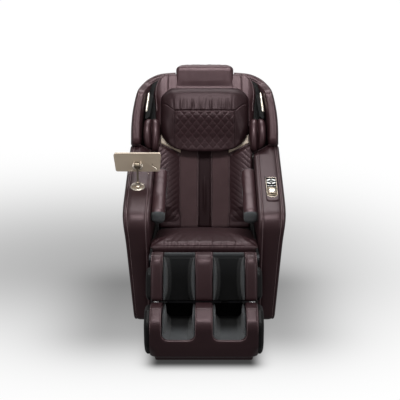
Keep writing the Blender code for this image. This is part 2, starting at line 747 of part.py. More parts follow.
def make_seat():
    pan = add_piece("seat_frame", box((-PLATE_INNER_X - 0.004, PAN_FRONT_Y, PAN_Z),
                                      (PLATE_INNER_X + 0.004, PAN_REAR_Y, PAN_Z + PAN_THICK)), "seat",
                                          "steel")
    outer = HALF_GAP - SEAT_GAP
    for side in (1, -1):
        beam = capsule((LEG_Y, LEG_Z), (RECLINE_Y, RECLINE_Z), 0.026, 0.044)
        fuse(pan, mirrored(prism(beam, PLATE_INNER_X, outer), side))
        link = capsule((RECLINE_Y, RECLINE_Z), (TILT_Y, TILT_Z), 0.040, 0.028)
        fuse(pan, mirrored(prism(link, PLATE_INNER_X + 0.001, outer - 0.001), side))
        flange = [(PAN_FRONT_Y + 0.03, PAN_Z - 0.045), (RECLINE_Y - 0.02, PAN_Z - 0.010),
                  (RECLINE_Y - 0.03, RECLINE_Z), (PAN_FRONT_Y, LEG_Z - 0.01), (PAN_FRONT_Y, PAN_Z - 0.02)]
        fuse(pan, mirrored(prism(flange, PLATE_INNER_X + 0.0005, outer - 0.002), side))
    swing = 4 * RECLINE_LEVER * math.sin(math.radians(RECLINE_RANGE / 2))
    rear_eye = recline_pin()[0] - 0.034 - swing - 0.085
    rear_z = recline_pin()[1] - sagitta(RECLINE_LEVER, RECLINE_RANGE) / 2
    cheeks, pin = drive_bracket(0.0, rear_eye, rear_z, PAN_Z)
    fuse(pan, several(*cheeks))
    fuse(pan, pin)
    leg_eye = leg_pin()[0] + 0.100 + 2 * LEG_LEVER * math.sin(math.radians(LEG_RANGE / 2))
    cheeks, pin = drive_bracket(LEG_DRIVE_X, leg_eye, leg_pin()[1] - sagitta(LEG_LEVER, LEG_RANGE) / 2, PAN_Z)
    fuse(pan, several(*cheeks))
    fuse(pan, pin)
    lug_x = TILT_DRIVE_X + EYE_WIDTH / 2 + 0.004
    lug = [(TILT_PIN_Y - 0.030, PAN_Z + 0.004), *arc((TILT_PIN_Y, TILT_PIN_Z), 0.013, 180, 360, 6),
           (TILT_PIN_Y + 0.030, PAN_Z + 0.004)]
    fuse(pan, prism(lug, lug_x, lug_x + 0.008))
    fuse(pan, bar((TILT_DRIVE_X - EYE_WIDTH / 2 - 0.004, TILT_PIN_Y, TILT_PIN_Z),
                  (lug_x + 0.004, TILT_PIN_Y, TILT_PIN_Z), PIN_RADIUS, 12))
    holes = []
    for y, z, radius in ((LEG_Y, LEG_Z, LEG_SHAFT_RADIUS + SEAT_GAP),
                         (RECLINE_Y, RECLINE_Z, SHAFT_RADIUS + SEAT_GAP),
                         (TILT_Y, TILT_Z, TILT_PIN + RUN_GAP)):
        for side in (1, -1):
            holes.append(mirrored(bar((PLATE_INNER_X - 0.02, y, z), (HALF_GAP + 0.02, y, z), radius, 20),
                                  side))
    cut(pan, several(*holes))
    reach = HALF_GAP - 2 * SEAT_GAP
    add_piece("recline_shaft", bar((-reach, RECLINE_Y, RECLINE_Z), (reach, RECLINE_Y, RECLINE_Z),
                                   SHAFT_RADIUS, 20), "seat", "bright_steel")
    add_piece("leg_shaft", bar((-reach, LEG_Y, LEG_Z), (reach, LEG_Y, LEG_Z), LEG_SHAFT_RADIUS, 20),
              "seat", "bright_steel")


def make_seat_cushion():
    """A crowned cushion that falls to the rear and rolls over at the front."""
    floor = PAN_Z + PAN_THICK + SOFT_GAP
    outline = rounded([(CUSHION_FRONT_Y + 0.004, floor, 0.014), (PAN_REAR_Y + 0.010, floor, 0.014),
                       (CUSHION_REAR_Y, CUSHION_REAR_Z - 0.020, 0.014),
                           (CUSHION_REAR_Y - 0.006, CUSHION_REAR_Z, 0.014),
                       (CUSHION_FRONT_Y + 0.075, CUSHION_CREST_Z, 0.08),
                           (CUSHION_FRONT_Y, CUSHION_CREST_Z - 0.010, 0.032)], 3)
    rings = []
    for part in np.sin(np.linspace(-math.pi / 2, math.pi / 2, 11)):
        x = part * CUSHION_HALF_X
        edge = 0.010 * abs(part) ** 10
        crown = CUSHION_CROWN * (1.0 - part * part)
        slice_points = shrink(outline, edge)
        rings.append([(x, y, z + (crown if z > floor + 0.04 else 0.0)) for y, z in slice_points])
    add_piece("seat_cushion", loft(rings), "seat", "leather")


def arm_outline():
    slope = math.tan(math.radians(ARM_SLOPE))
    # where the sloping top meets the rear arc about the recline shaft
    offset = arm_top(RECLINE_Y) - RECLINE_Z
    a = 1.0 + slope * slope
    b = 2.0 * slope * offset
    c = offset * offset - ARM_REAR_RADIUS ** 2
    reach = (-b + math.sqrt(b * b - 4.0 * a * c)) / (2.0 * a)
    start = math.degrees(math.atan2(offset + slope * reach, reach))
    nose = rounded([(ARM_HEEL_Y, ARM_BOTTOM_Z + 0.025, 0.05), (ARM_TAIL_Y, RECLINE_Z + 0.02, 0.10),
                    (ARM_TAIL_Y + 0.02, RECLINE_Z + 0.25, 0.0), (0.0, arm_top(0.0), 0.0),
                    (ARM_FRONT_Y, ARM_FRONT_TOP_Z, ARM_ROLL), (ARM_FRONT_Y + 0.012, ARM_BOTTOM_Z, 0.030)], 5)
    rear = arc((RECLINE_Y, RECLINE_Z), ARM_REAR_RADIUS, 36, start, 7)
    heel = nose[:6]
    tail = nose[6:12]
    front = nose[14:]
    return heel + tail + rear + front


def flare(piece, inner):
    """Draws the outer side of an arm piece in below the waist."""
    bm = bmesh.new()
    bm.from_mesh(piece.data)
    waist = PLACES["seat"].inverted() @ Vector((0.0, 0.0, ARM_WAIST_Z))
    every = bm.verts[:] + bm.edges[:] + bm.faces[:]
    bmesh.ops.bisect_plane(bm, geom=every, dist=1e-6, plane_co=waist, plane_no=(0, 0, 1))
    for vert in bm.verts:
        drop = max(0.0, waist.z - vert.co.z)
        share = (abs(vert.co.x) - inner) / (ARM_OUTER - inner)
        vert.co.x -= math.copysign(ARM_FLARE * drop * max(0.0, share), vert.co.x)
    bm.to_mesh(piece.data)
    bm.free()


def make_arms():
    outline = arm_outline()
    split = ARM_OUTER - SIDE_PANEL
    for side in (1, -1):
        soft = [(HALF_GAP, 0.010), (HALF_GAP + 0.003, 0.004), (HALF_GAP + 0.012, 0.0),
                (split - 0.006, 0.0), (split, 0.004)]
        arm = add_piece(sided("arm", side), mirrored(slab(outline, soft), side), "seat", "leather")
        flare(arm, HALF_GAP)
        notch = arc((RECLINE_Y, RECLINE_Z), ARM_NOTCH_RADIUS, 30, 115, 14) + arc((RECLINE_Y, RECLINE_Z),
                0.60, 115, 30, 8)
        cut(arm, mirrored(prism(notch, HALF_GAP - 0.02, ARM_NOTCH_X), side))
        hard = [(split + SEAT_GAP, 0.004), (split + 0.004, 0.0), (ARM_OUTER - 0.009, 0.001),
                (ARM_OUTER - 0.003, 0.005), (ARM_OUTER, 0.012)]
        panel = add_piece(sided("side_panel", side), mirrored(slab(outline, hard), side), "seat", "leather")
        flare(panel, HALF_GAP)
        front = FOREARM_FRONT_Y
        rear = FOREARM_REAR_Y
        pad = rounded([(front, arm_top(front) - FOREARM_DROP - FOREARM_DEPTH, 0.024),
                       (rear, arm_top(rear) - FOREARM_DROP - FOREARM_DEPTH, 0.026),
                       (rear, arm_top(rear) - FOREARM_DROP, 0.026),
                           (front, arm_top(front) - FOREARM_DROP, 0.022)], 5)
        wide = HALF_GAP - SOFT_GAP - FOREARM_INNER_X
        skin = [(FOREARM_INNER_X + wide * t, inset) for t, inset in ((0.0, 0.018), (0.04, 0.011),
                (0.14, 0.004), (0.32, 0.0), (0.7, 0.0), (0.92, 0.004), (1.0, 0.010))]
        add_piece(sided("forearm_pad", side), mirrored(slab(pad, skin), side), "seat", "leather")


def back_front(x, z):
    """How far out the back pad stands: a channelled middle and ribbed side bolsters."""
    across = abs(x)
    low = 1.0 - min(1.0, max(0.0, (z - STRIP_TOP) / 0.03))
    depth = BACK_FRONT
    if across > BOLSTER_X:
        rise = (across - BOLSTER_X) / (BACK_HALF_X - BOLSTER_X)
        foot = min(1.0, 0.25 + 10.0 * max(0.0, z - BACK_BOTTOM))
        depth -= low * foot * BOLSTER_RISE * math.sin(0.5 * math.pi * min(1.0, 1.35 * rise))
    elif across < POCKET_INNER_X - 0.006:
        depth -= low * 0.006
    return depth


def back_share(z):
    """Half the back's width at a height, over BACK_HALF_X."""
    wide = BACK_WAIST_X / BACK_HALF_X
    heights = [0.060, 0.085, 0.360, 0.390] + [SHOULDER_TOP + rise for rise in (0.025, 0.062, 0.118)]
    heights += [BACK_TOP - drop for drop in (0.113, 0.083, 0.053, 0.028, 0.010, 0.0)]
    shares = (1.0, wide, wide, 1.0, 1.0, 1.110, 1.110, 1.083, 1.050, 0.995, 0.920, 0.850, 0.740)
    return float(np.interp(z, heights, shares))


def make_back_pad():
    step = RIB_PITCH / 2
    ribs = np.arange(BOLSTER_X, BACK_HALF_X - 0.006, step)
    side_xs = list(ribs) + [BACK_HALF_X]
    xs = [-x for x in reversed(side_xs)] + [-POCKET_OUTER_X, -POCKET_INNER_X, -0.036, 0.0, 0.036,
                                            POCKET_INNER_X, POCKET_OUTER_X] + side_xs
    zs = list(np.arange(BACK_BOTTOM, STRIP_TOP, step))
    zs += [STRIP_TOP + 0.006, STRIP_TOP + 0.032, BACK_TOP - 0.298]
    zs += [SHOULDER_TOP + 0.025, SHOULDER_TOP + 0.062, SHOULDER_TOP + 0.118]
    zs += [BACK_TOP - drop for drop in (0.113, 0.083, 0.053, 0.028, 0.010, 0.0)]
    rings = []
    for row, z in enumerate(zs):
        front = []
        for column, x in enumerate(xs):
            y = back_front(x, z)
            order = int(round((abs(x) - BOLSTER_X) / step))
            if BOLSTER_X - 1e-6 < abs(x) < BACK_HALF_X - 1e-6 and z < STRIP_TOP and (row + order) % 2:
                y += RIB_DEPTH
            corner = z > BACK_TOP - 0.120
            if row == 0 or row == len(zs) - 1:
                y += 0.006 if corner else 0.014
            if abs(x) > BACK_HALF_X - 1e-6:
                y += 0.012 if corner else 0.018
            front.append((x * back_share(z), y, z if row else BACK_LIP))
        edge = BACK_HALF_X * back_share(z)
        rear = CORNER_REAR if z > BACK_TOP - 0.120 else BACK_REAR
        rings.append(front + [(edge, rear, z), (-edge, rear, z)])
    middle = len(xs) // 2

    def diagonal(row, column):
        if row >= len(zs) - 13 or column >= len(xs) - 1:
            return 0
        return -1 if column >= middle else 1

    pad = add_piece("back_pad", loft(rings, diagonal), "backrest", "leather", "backrest")
    pockets = [mirrored(box((POCKET_INNER_X, BACK_REAR - POCKET_DEPTH, BACK_BOTTOM + 0.020),
                            (POCKET_OUTER_X, BACK_REAR + 0.05, SHOULDER_TOP + 0.130)),
                                side) for side in (1, -1)]
    cut(pad, several(*pockets), "backrest")


def cover_ring(z, half, rear, front=BACK_REAR + SEAT_GAP):
    corner = min(0.07, 0.45 * (rear - front))
    outline = rounded([(-half, front, 0.0), (half, front, 0.0), (half, rear, corner),
                       (-half, rear, corner)], 6)
    return [(x, y, z) for x, y in outline]


def make_back_shell():
    half = BACK_HALF_X - 0.002
    neck = FLAP_HALF_X - 0.002
    stations = [(0.000, half, 0.060), (0.030, half, 0.088), (0.120, half, 0.108), (0.410, half, COVER_REAR)]
    shoulder = wing_inner(SEAT_GAP)
    for z, x in shoulder[:-1]:
        rear = float(np.interp(z, (BACK_TOP - 0.248, BACK_TOP - 0.062), (COVER_REAR, 0.103)))
        stations.append((z, x, rear))
    stations += [(shoulder[-1][0], neck, 0.103), (BACK_TOP - 0.018, neck, 0.092),
                 (BACK_TOP - 0.004, neck, 0.070)]
    shell = add_piece("back_cover", loft([cover_ring(*s) for s in stations]), "backrest", "leather",
                      "backrest")
    inner = BACK_HALF_X - COVER_SIDE
    hollow = [(-0.030, inner, 0.054), (0.000, inner, 0.054), (0.030, inner, 0.088 - COVER_WALL),
              (0.120, inner, 0.108 - COVER_WALL), (0.410, inner, COVER_REAR - COVER_WALL),
              (BACK_TOP - 0.158, inner, 0.124 - COVER_WALL), (BACK_TOP - 0.093, inner - 0.020, 0.100)]
    cut(shell, loft([cover_ring(z, w, r, BACK_REAR - 0.05) for z, w, r in hollow]), "backrest")
    gap = arc((0.0, 0.0), SHAFT_RADIUS + 0.020, 0, 360, 24)[:-1]
    cut(shell, prism(gap, -HALF_GAP, HALF_GAP), "backrest")


def make_back_frame():
    """Two track rails, three crossbars, and lugs round the recline shaft with a drive lever."""
    low = -0.016
    high = SHOULDER_TOP + 0.170
    rear = TRACK_FRONT + TRACK_DEPTH
    rails = [mirrored(box((RAIL_INNER_X, TRACK_FRONT, low), (RAIL_INNER_X + TRACK_WIDTH, rear, high)),
                      side) for side in (1, -1)]
    back = add_piece("back_frame", several(*rails), "backrest", "steel", "backrest")
    reach = BACK_HALF_X - COVER_SIDE - SEAT_GAP
    ties = [box((-reach, TRACK_FRONT - 0.010, z), (reach, TRACK_FRONT + 0.007, z + 0.030)) for z in TIE_ZS]
    fuse(back, several(*ties), "backrest")
    inner = RAIL_INNER_X + 0.004
    webs = [mirrored(box((inner + 0.001, 0.0, 0.012), (inner + 0.011, rear - 0.004, 0.060)),
                     side) for side in (1, -1)]
    fuse(back, several(*webs), "backrest")
    lever_x = EYE_WIDTH / 2 + 0.004
    pin = recline_pin()
    arm = capsule((RECLINE_Y, RECLINE_Z), pin, 0.024, 0.013)
    lever = prism(arm, lever_x, lever_x + 0.010)
    tube = turned([(0.022, -inner - 0.004), (0.022, inner + 0.004)], (0.0, RECLINE_Y, RECLINE_Z),
                  (1, 0, 0), 20)
    fuse(back, tube)
    fuse(back, lever)
    fuse(back, bar((-EYE_WIDTH / 2 - 0.004, *pin), (lever_x + 0.005, *pin), PIN_RADIUS, 12))
    cut(back, bar((-HALF_GAP, RECLINE_Y, RECLINE_Z), (HALF_GAP, RECLINE_Y, RECLINE_Z),
                  SHAFT_RADIUS + RUN_GAP, 20))


def wing_line():
    """Along a wing: the middle (x, z), the outward direction, its thickness and its (front, rear)."""
    path = [Vector((HALF_GAP + x, WING_RADIUS + share * (BACK_TOP - WING_RADIUS))) for x, share in WING_PATH]
    line = []
    for index, point in enumerate(path):
        ahead = path[min(index + 1, len(path) - 1)] - path[max(index - 1, 0)]
        out = Vector((ahead.y, -ahead.x)).normalized()
        part = index / (len(path) - 1)
        thick = WING_THICK * (1.0 - 0.30 * part ** 2)
        turned_in = float(np.interp(part, (0.50, 0.625, 0.75, 0.80), (0.0, 0.35, 0.97, 1.0)))
        front = WING_FRONT + turned_in * (WING_TIP_FRONT - WING_FRONT)
        line.append((point, out, thick, (front, WING_REAR * (1.0 - 0.40 * max(0.0, part - 0.50) / 0.50))))
    return line


def wing_inner(gap):
    """The wing's inner edge, seen from the front, as (z, x) with a gap to it."""
    edge = [point - out * (0.5 * thick + gap) for point, out, thick, _ in wing_line()]
    return [(point.y, point.x) for point in edge]


def make_wings():
    """Padded wings that rise from an arc over the arms and turn in over the top of the back."""
    section = wing_section()
    rings = []
    for point, out, thick, (front, rear) in wing_line():
        spots = [(point + out * across * thick, front + share * (rear - front)) for across, share in section]
        rings.append([(spot.x, y, spot.y) for spot, y in spots])
    foot = HALF_GAP + WING_PATH[0][0]
    foot_ring = [(across, WING_FRONT + share * (WING_REAR - WING_FRONT)) for across, share in section]
    rings.insert(0, [(foot + across * WING_THICK, y, math.sqrt(WING_RADIUS ** 2 - y * y))
                     for across, y in foot_ring])
    for side in (1, -1):
        add_piece(sided("wing", side), mirrored(loft(rings, None, True), side), "backrest", "leather",
                  "backrest")


def wing_section():
    """Across the wing (-0.5 inside to 0.5 outside) and front to rear as a share."""
    points = []
    for t in (np.arange(18) + 0.5) * math.pi / 9.0:
        across = 0.5 * math.copysign(abs(math.sin(t)) ** 0.5, math.sin(t))
        depth = -math.copysign(abs(math.cos(t)) ** 0.8, math.cos(t))
        points.append((across, 0.5 + 0.5 * depth))
    return points


def make_wing_bars():
    """Gold bars that stand on the wings' inner flanks."""
    flank = wing_inner(-WING_HOLLOW)
    heights = [z for z, _ in flank]
    edges = [x for _, x in flank]
    rings = []
    for z, slim in ((BAR_BOTTOM, 0.6), (BAR_BOTTOM + 0.012, 1.0), (BAR_TOP - 0.012, 1.0), (BAR_TOP, 0.6)):
        x = float(np.interp(z, heights, edges)) - SEAT_GAP
        outline = rounded([(x - BAR_WIDTH * slim, BAR_FRONT, 0.004), (x, BAR_FRONT, 0.004),
                           (x, BAR_REAR, 0.004), (x - BAR_WIDTH * slim, BAR_REAR, 0.004)], 2)
        rings.append([(a, b, z) for a, b in outline])
    for side in (1, -1):
        add_piece(sided("wing_bar", side), mirrored(loft(rings), side), "backrest", "gold", "backrest")


def make_shoulder_pads():
    """Twin upright lobes in front of the wings, over the notches in the arms."""
    rear = BACK_REAR
    reach = ARM_NOTCH_RADIUS + 0.010
    rings = []
    for part in np.linspace(0.0, 1.0, 9):
        swell = math.sin(math.pi * (0.06 + 0.88 * part)) ** 0.45
        half = SHOULDER_HALF * (0.70 + 0.30 * swell)
        front = SHOULDER_FRONT * (0.58 + 0.42 * swell)
        outline = []
        for t in np.linspace(0.0, math.pi, 13):
            lobe = abs(math.sin(t * 2.0)) ** 0.6 if 0 < t < math.pi else 0.0
            outline.append((SHOULDER_X - half * math.cos(t), front * (0.70 + 0.30 * lobe)))
        outline += [(SHOULDER_ROOT[1], rear), (SHOULDER_ROOT[0], rear)]
        bottoms = [math.sqrt(reach ** 2 - y * y) for _, y in outline]
        rings.append([(x, y, low + part * (SHOULDER_TOP - low)) for (x, y), low in zip(outline, bottoms)])
    for side in (1, -1):
        add_piece(sided("shoulder_pad", side), mirrored(loft(rings), side), "backrest", "leather", "backrest")


def make_neck_panel():
    front = BACK_FRONT - SOFT_GAP - NECK_THICK
    half = BACK_HALF_X - 0.010
    side = half - 0.083
    top = STRIP_TOP + 0.084
    low = STRIP_TOP + 0.036
    outline = [(-half, top), (-half, low + 0.004), (-side, low), (side, low), (half, low + 0.004),
               (half, top)]
    rings = [[(x, y, z) for x, z in outline] for y in (front, front + NECK_THICK)]
    add_piece("neck_panel", loft(rings), "backrest", "gold", "backrest")


def pillow_half(z):
    """Half the pillow's width: round top corners and a drawn-in bottom."""
    up = (z - PILLOW_BOTTOM) / (PILLOW_TOP - PILLOW_BOTTOM)
    low = 1.0 - 0.42 * max(0.0, 1.0 - up / 0.42) ** 2.2
    top = 1.0 - 0.24 * max(0.0, (up - 0.80) / 0.20) ** 2.4
    return PILLOW_HALF_X * low * top


def make_pillow():
    """A head pillow: a smooth band above a diamond quilted panel, puffed in the middle."""
    across = 14
    half_quilt = QUILT_WIDTH * 7 / 2
    fractions = np.linspace(-half_quilt, half_quilt, across + 1) / PILLOW_HALF_X
    outer = np.array([0.80, 0.90, 0.97, 1.0])
    columns = list(-outer[::-1]) + list(fractions) + list(outer)
    quilt_top = PILLOW_TOP - 0.121
    rows = [PILLOW_BOTTOM, PILLOW_BOTTOM + 0.012] + list(np.linspace(PILLOW_BOTTOM + 0.032, quilt_top, 8))
    rows += [quilt_top + 0.022, quilt_top + 0.060, PILLOW_TOP - 0.030, PILLOW_TOP - 0.010, PILLOW_TOP]
    rest = BACK_FRONT - SOFT_GAP - NECK_THICK - SOFT_GAP
    rings = []
    for row, z in enumerate(rows):
        half = pillow_half(z)
        up = (z - PILLOW_BOTTOM) / (PILLOW_TOP - PILLOW_BOTTOM)
        puff = (1.0 - abs(2.0 * up - 1.0) ** 4.0) ** 0.6
        back = rest - PILLOW_KICK * max(0.0, 1.0 - up / 0.18)
        front = []
        for column, part in enumerate(columns):
            crown = (1.0 - abs(part) ** 6.0) ** 0.6
            y = back - 0.010 - (PILLOW_DEPTH - 0.016) * puff * crown
            quilted = 2 <= row <= 9 and len(outer) <= column <= len(outer) + across
            if quilted and (row + column) % 2:
                y -= QUILT_DEPTH
            if row == 9 and not quilted:
                y += QUILT_DEPTH * 0.5
            front.append((part * half, y, z))
        rings.append(front + [(half * 0.94, back, z), (-half * 0.94, back, z)])

    def diagonal(row, column):
        if 2 <= row < 9 and len(outer) <= column < len(outer) + across:
            return 1 if (row + column) % 2 == 0 else -1
        return 0

    add_piece("head_pillow", loft(rings, diagonal), "pillow", "leather", "backrest")


def make_flap():
    """A padded flap laid over the top of the back."""
    front = BACK_FRONT - SOFT_GAP
    rear = 0.104
    inner = BACK_TOP + SOFT_GAP
    low = PILLOW_TOP + FLAP_LIFT
    outline = rounded([(front - FLAP_THICK, low, 0.010), (front, low, 0.006), (front, inner, 0.004),
                       (rear, inner, 0.004), (rear, FLAP_HEM, 0.006),
                       (rear + FLAP_THICK, FLAP_HEM, 0.010), (rear + FLAP_THICK, FLAP_TOP, 0.045),
                           (front - FLAP_THICK, FLAP_TOP, 0.045)], 3)
    half = FLAP_HALF_X
    add_piece("head_flap", slab(outline, [(-half, 0.004), (-half + 0.004, 0.0), (half - 0.004, 0.0),
                                          (half, 0.004)]), "backrest", "leather", "backrest")


def make_carriage():
    """A motor carriage on the track rails, with two tapping arms and their rollers."""
    half = RAIL_INNER_X - RUN_GAP
    low = CARRIAGE_Z - CARRIAGE_HALF_Z
    high = CARRIAGE_Z + CARRIAGE_HALF_Z
    plate = rounded([(TRACK_FRONT + 0.024, low, 0.008), (TRACK_FRONT + 0.030, low, 0.0),
                     (TRACK_FRONT + 0.064, low + 0.012, 0.012),
                     (TRACK_FRONT + 0.064, high - 0.012, 0.012), (TRACK_FRONT + 0.030, high, 0.0),
                         (TRACK_FRONT + 0.024, high, 0.008)], 3)
    frame = add_piece("carriage", prism(plate, -half + 0.012, half - 0.012), "carriage", "steel", "backrest")
    shoes = [mirrored(box((half - 0.030, TRACK_FRONT + 0.006, z - 0.014),
                          (half, TRACK_FRONT + 0.028, z + 0.014)), side)
             for side in (1, -1) for z in (low + 0.018, high - 0.018)]
    fuse(frame, several(*shoes), "backrest")
    slots = [mirrored(box((ROLLER_X - 0.030, TRACK_FRONT - 0.02, CARRIAGE_Z - 0.032),
                          (ROLLER_X + 0.006, TRACK_FRONT + 0.056, CARRIAGE_Z + 0.032)), side)
             for side in (1, -1)]
    cut(frame, several(*slots), "backrest")
    shaft = bar((-half + 0.014, TAP_Y, CARRIAGE_Z), (half - 0.014, TAP_Y, CARRIAGE_Z), TAP_SHAFT, 16)
    fuse(frame, shaft, "backrest")
    for side in (1, -1):
        body = sided("tap", side)
        inner = ROLLER_X - ROLLER_WIDTH / 2 - 0.012
        arm = capsule((TAP_Y, CARRIAGE_Z), (ROLLER_Y, CARRIAGE_Z), 0.014, 0.011)
        tapper = add_piece(sided("tapping_arm", side), mirrored(prism(arm, inner, inner + 0.010), side),
                           body, "steel", "backrest")
        fuse(tapper, mirrored(bar((inner + 0.005, ROLLER_Y, CARRIAGE_Z),
                                  (ROLLER_X + ROLLER_WIDTH / 2, ROLLER_Y, CARRIAGE_Z), 0.006, 16), side),
            "backrest")
        cut(tapper, mirrored(bar((inner - 0.02, TAP_Y, CARRIAGE_Z), (inner + 0.03, TAP_Y, CARRIAGE_Z),
                                 TAP_SHAFT + RUN_GAP, 16), side), "backrest")
        wide = ROLLER_WIDTH / 2
        bore = 0.006 + RUN_GAP
        profile = [(bore, -wide), (ROLLER_RADIUS - 0.008, -wide), (ROLLER_RADIUS, -wide + 0.007),
                   (ROLLER_RADIUS, wide - 0.007),
                   (ROLLER_RADIUS - 0.008, wide), (bore, wide)]
        roller = sided("roller", side)
        add_piece(roller, ring(profile, (0, 0, 0), (1, 0, 0), 18), roller, "white_plastic", roller)


def make_leg():
    """The calf rest: three padded columns round two wells, on the leg shaft."""
    outline = rounded([(CALF_FRONT, CALF_BOTTOM, 0.010), (CALF_REAR, CALF_BOTTOM, 0.010),
                       (CALF_REAR, CALF_TOP, 0.030), (CALF_FRONT, CALF_TOP, 0.062)], 4)
    half = LEG_HALF_X
    block = slab(outline, [(-half, 0.007), (-half + 0.003, 0.002), (-half + 0.010, 0.0),
                           (half - 0.010, 0.0), (half - 0.003, 0.002), (half, 0.007)])
    calf = add_piece("calf_unit", block, "leg", "leather", "leg")
    wells = []
    for side in (1, -1):
        well = rounded([(WELL_INNER_X, CALF_FRONT - 0.05, 0.0), (WELL_OUTER_X, CALF_FRONT - 0.05, 0.0),
                        (WELL_OUTER_X, CALF_WELL_FLOOR, 0.020), (WELL_INNER_X, CALF_WELL_FLOOR, 0.020)],
            3)
        wells.append(mirrored(upright(well, CALF_BOTTOM - 0.05, CALF_TOP + 0.05), side))
    cut(calf, several(*wells), "leg")
    bore_top = CALF_BOTTOM + EXTENSION + 0.061
    bores = [mirrored(bar((SLIDE_X, SLIDE_Y, CALF_BOTTOM - 0.02), (SLIDE_X, SLIDE_Y, bore_top),
                          SLIDE_RADIUS + RUN_GAP, 14), side) for side in (1, -1)]
    cut(calf, several(*bores), "leg")
    cut(calf, bar((-HALF_GAP, 0.0, 0.0), (HALF_GAP, 0.0, 0.0), LEG_SHAFT_RADIUS + RUN_GAP, 20), "leg")
    lever_x = LEG_DRIVE_X - EYE_WIDTH / 2 - 0.004
    pin = leg_pin()
    lever = capsule((LEG_Y + 0.012, LEG_Z - 0.030), pin, 0.018, 0.013)
    fuse(calf, prism(lever, lever_x - 0.010, lever_x))
    fuse(calf, bar((lever_x - 0.005, *pin), (LEG_DRIVE_X + EYE_WIDTH / 2 + 0.004, *pin), PIN_RADIUS, 12))
    for side in (1, -1):
        rim = rounded([(CALF_FRONT + 0.010, CALF_BOTTOM + 0.006, 0.02),
                       (CALF_REAR - 0.014, CALF_BOTTOM + 0.006, 0.03),
                       (CALF_REAR - 0.020, -0.034, 0.03), (CALF_FRONT + 0.010, -0.034, 0.05)], 5)
        inner = LEG_HALF_X + SEAT_GAP
        add_piece(sided("calf_cover", side), mirrored(dome(rim, inner, COVER_OUTER_X, 0.30), side), "leg",
                  "black_plastic", "leg")
        add_piece(sided("calf_liner", side), mirrored(calf_liner(), side), "leg", "grey_cloth", "leg")


def calf_liner():
    """A cloth lining round a calf well, swelling on both sides."""
    outer = WELL_OUTER_X - SOFT_GAP
    inner = WELL_INNER_X + SOFT_GAP
    floor = CALF_WELL_FLOOR - SOFT_GAP
    front = CALF_FRONT + 0.014
    rings = []
    for part in np.linspace(0.0, 1.0, 9):
        z = CALF_BOTTOM + 0.004 + part * (CALF_TOP - 0.030 - CALF_BOTTOM)
        swell = LINER_SIDE * (0.5 + 0.9 * math.sin(math.pi * part) ** 0.6)
        bed = LINER_FLOOR
        ring_points = [(inner + 0.004, front), (inner, front + 0.006), (inner, floor - 0.022),
                       (inner + 0.022, floor), (outer - 0.022, floor),
                       (outer, floor - 0.022), (outer, front + 0.006), (outer - 0.004, front),
                           (outer - 0.6 * swell, front + 0.004),
                       (outer - swell, front + 0.030), (outer - swell, floor - bed - 0.026),
                           (outer - swell - 0.018, floor - bed),
                       (inner + swell + 0.018, floor - bed), (inner + swell, floor - bed - 0.026),
                           (inner + swell, front + 0.030), (inner + 0.6 * swell, front + 0.004)]
        rings.append([(x, y, z) for x, y in ring_points])
    return loft(rings)


def foot_outline():
    """Side of the foot rest: its top follows the calf rest's lower end, its nose is round."""
    calf_front = PLACES["leg"] @ Vector((0.0, CALF_FRONT, CALF_BOTTOM))
    calf_rear = PLACES["leg"] @ Vector((0.0, CALF_REAR, CALF_BOTTOM))
    drop = 0.005
    return rounded([(FOOT_REAR_Y, FOOT_BOTTOM_Z, 0.020), (FOOT_REAR_Y, calf_rear.z - 0.022, 0.012),
                    (calf_rear.y, calf_rear.z - drop, 0.0),
                    (calf_front.y, calf_front.z - drop, 0.0), (FOOT_FRONT_Y + 0.075, FOOT_TOP_Z, 0.02),
                        (FOOT_FRONT_Y, FOOT_TOP_Z - 0.050, 0.055),
                    (FOOT_FRONT_Y + 0.004, 0.105, 0.05), (FOOT_FRONT_Y + 0.042, FOOT_BOTTOM_Z, 0.022)], 4)


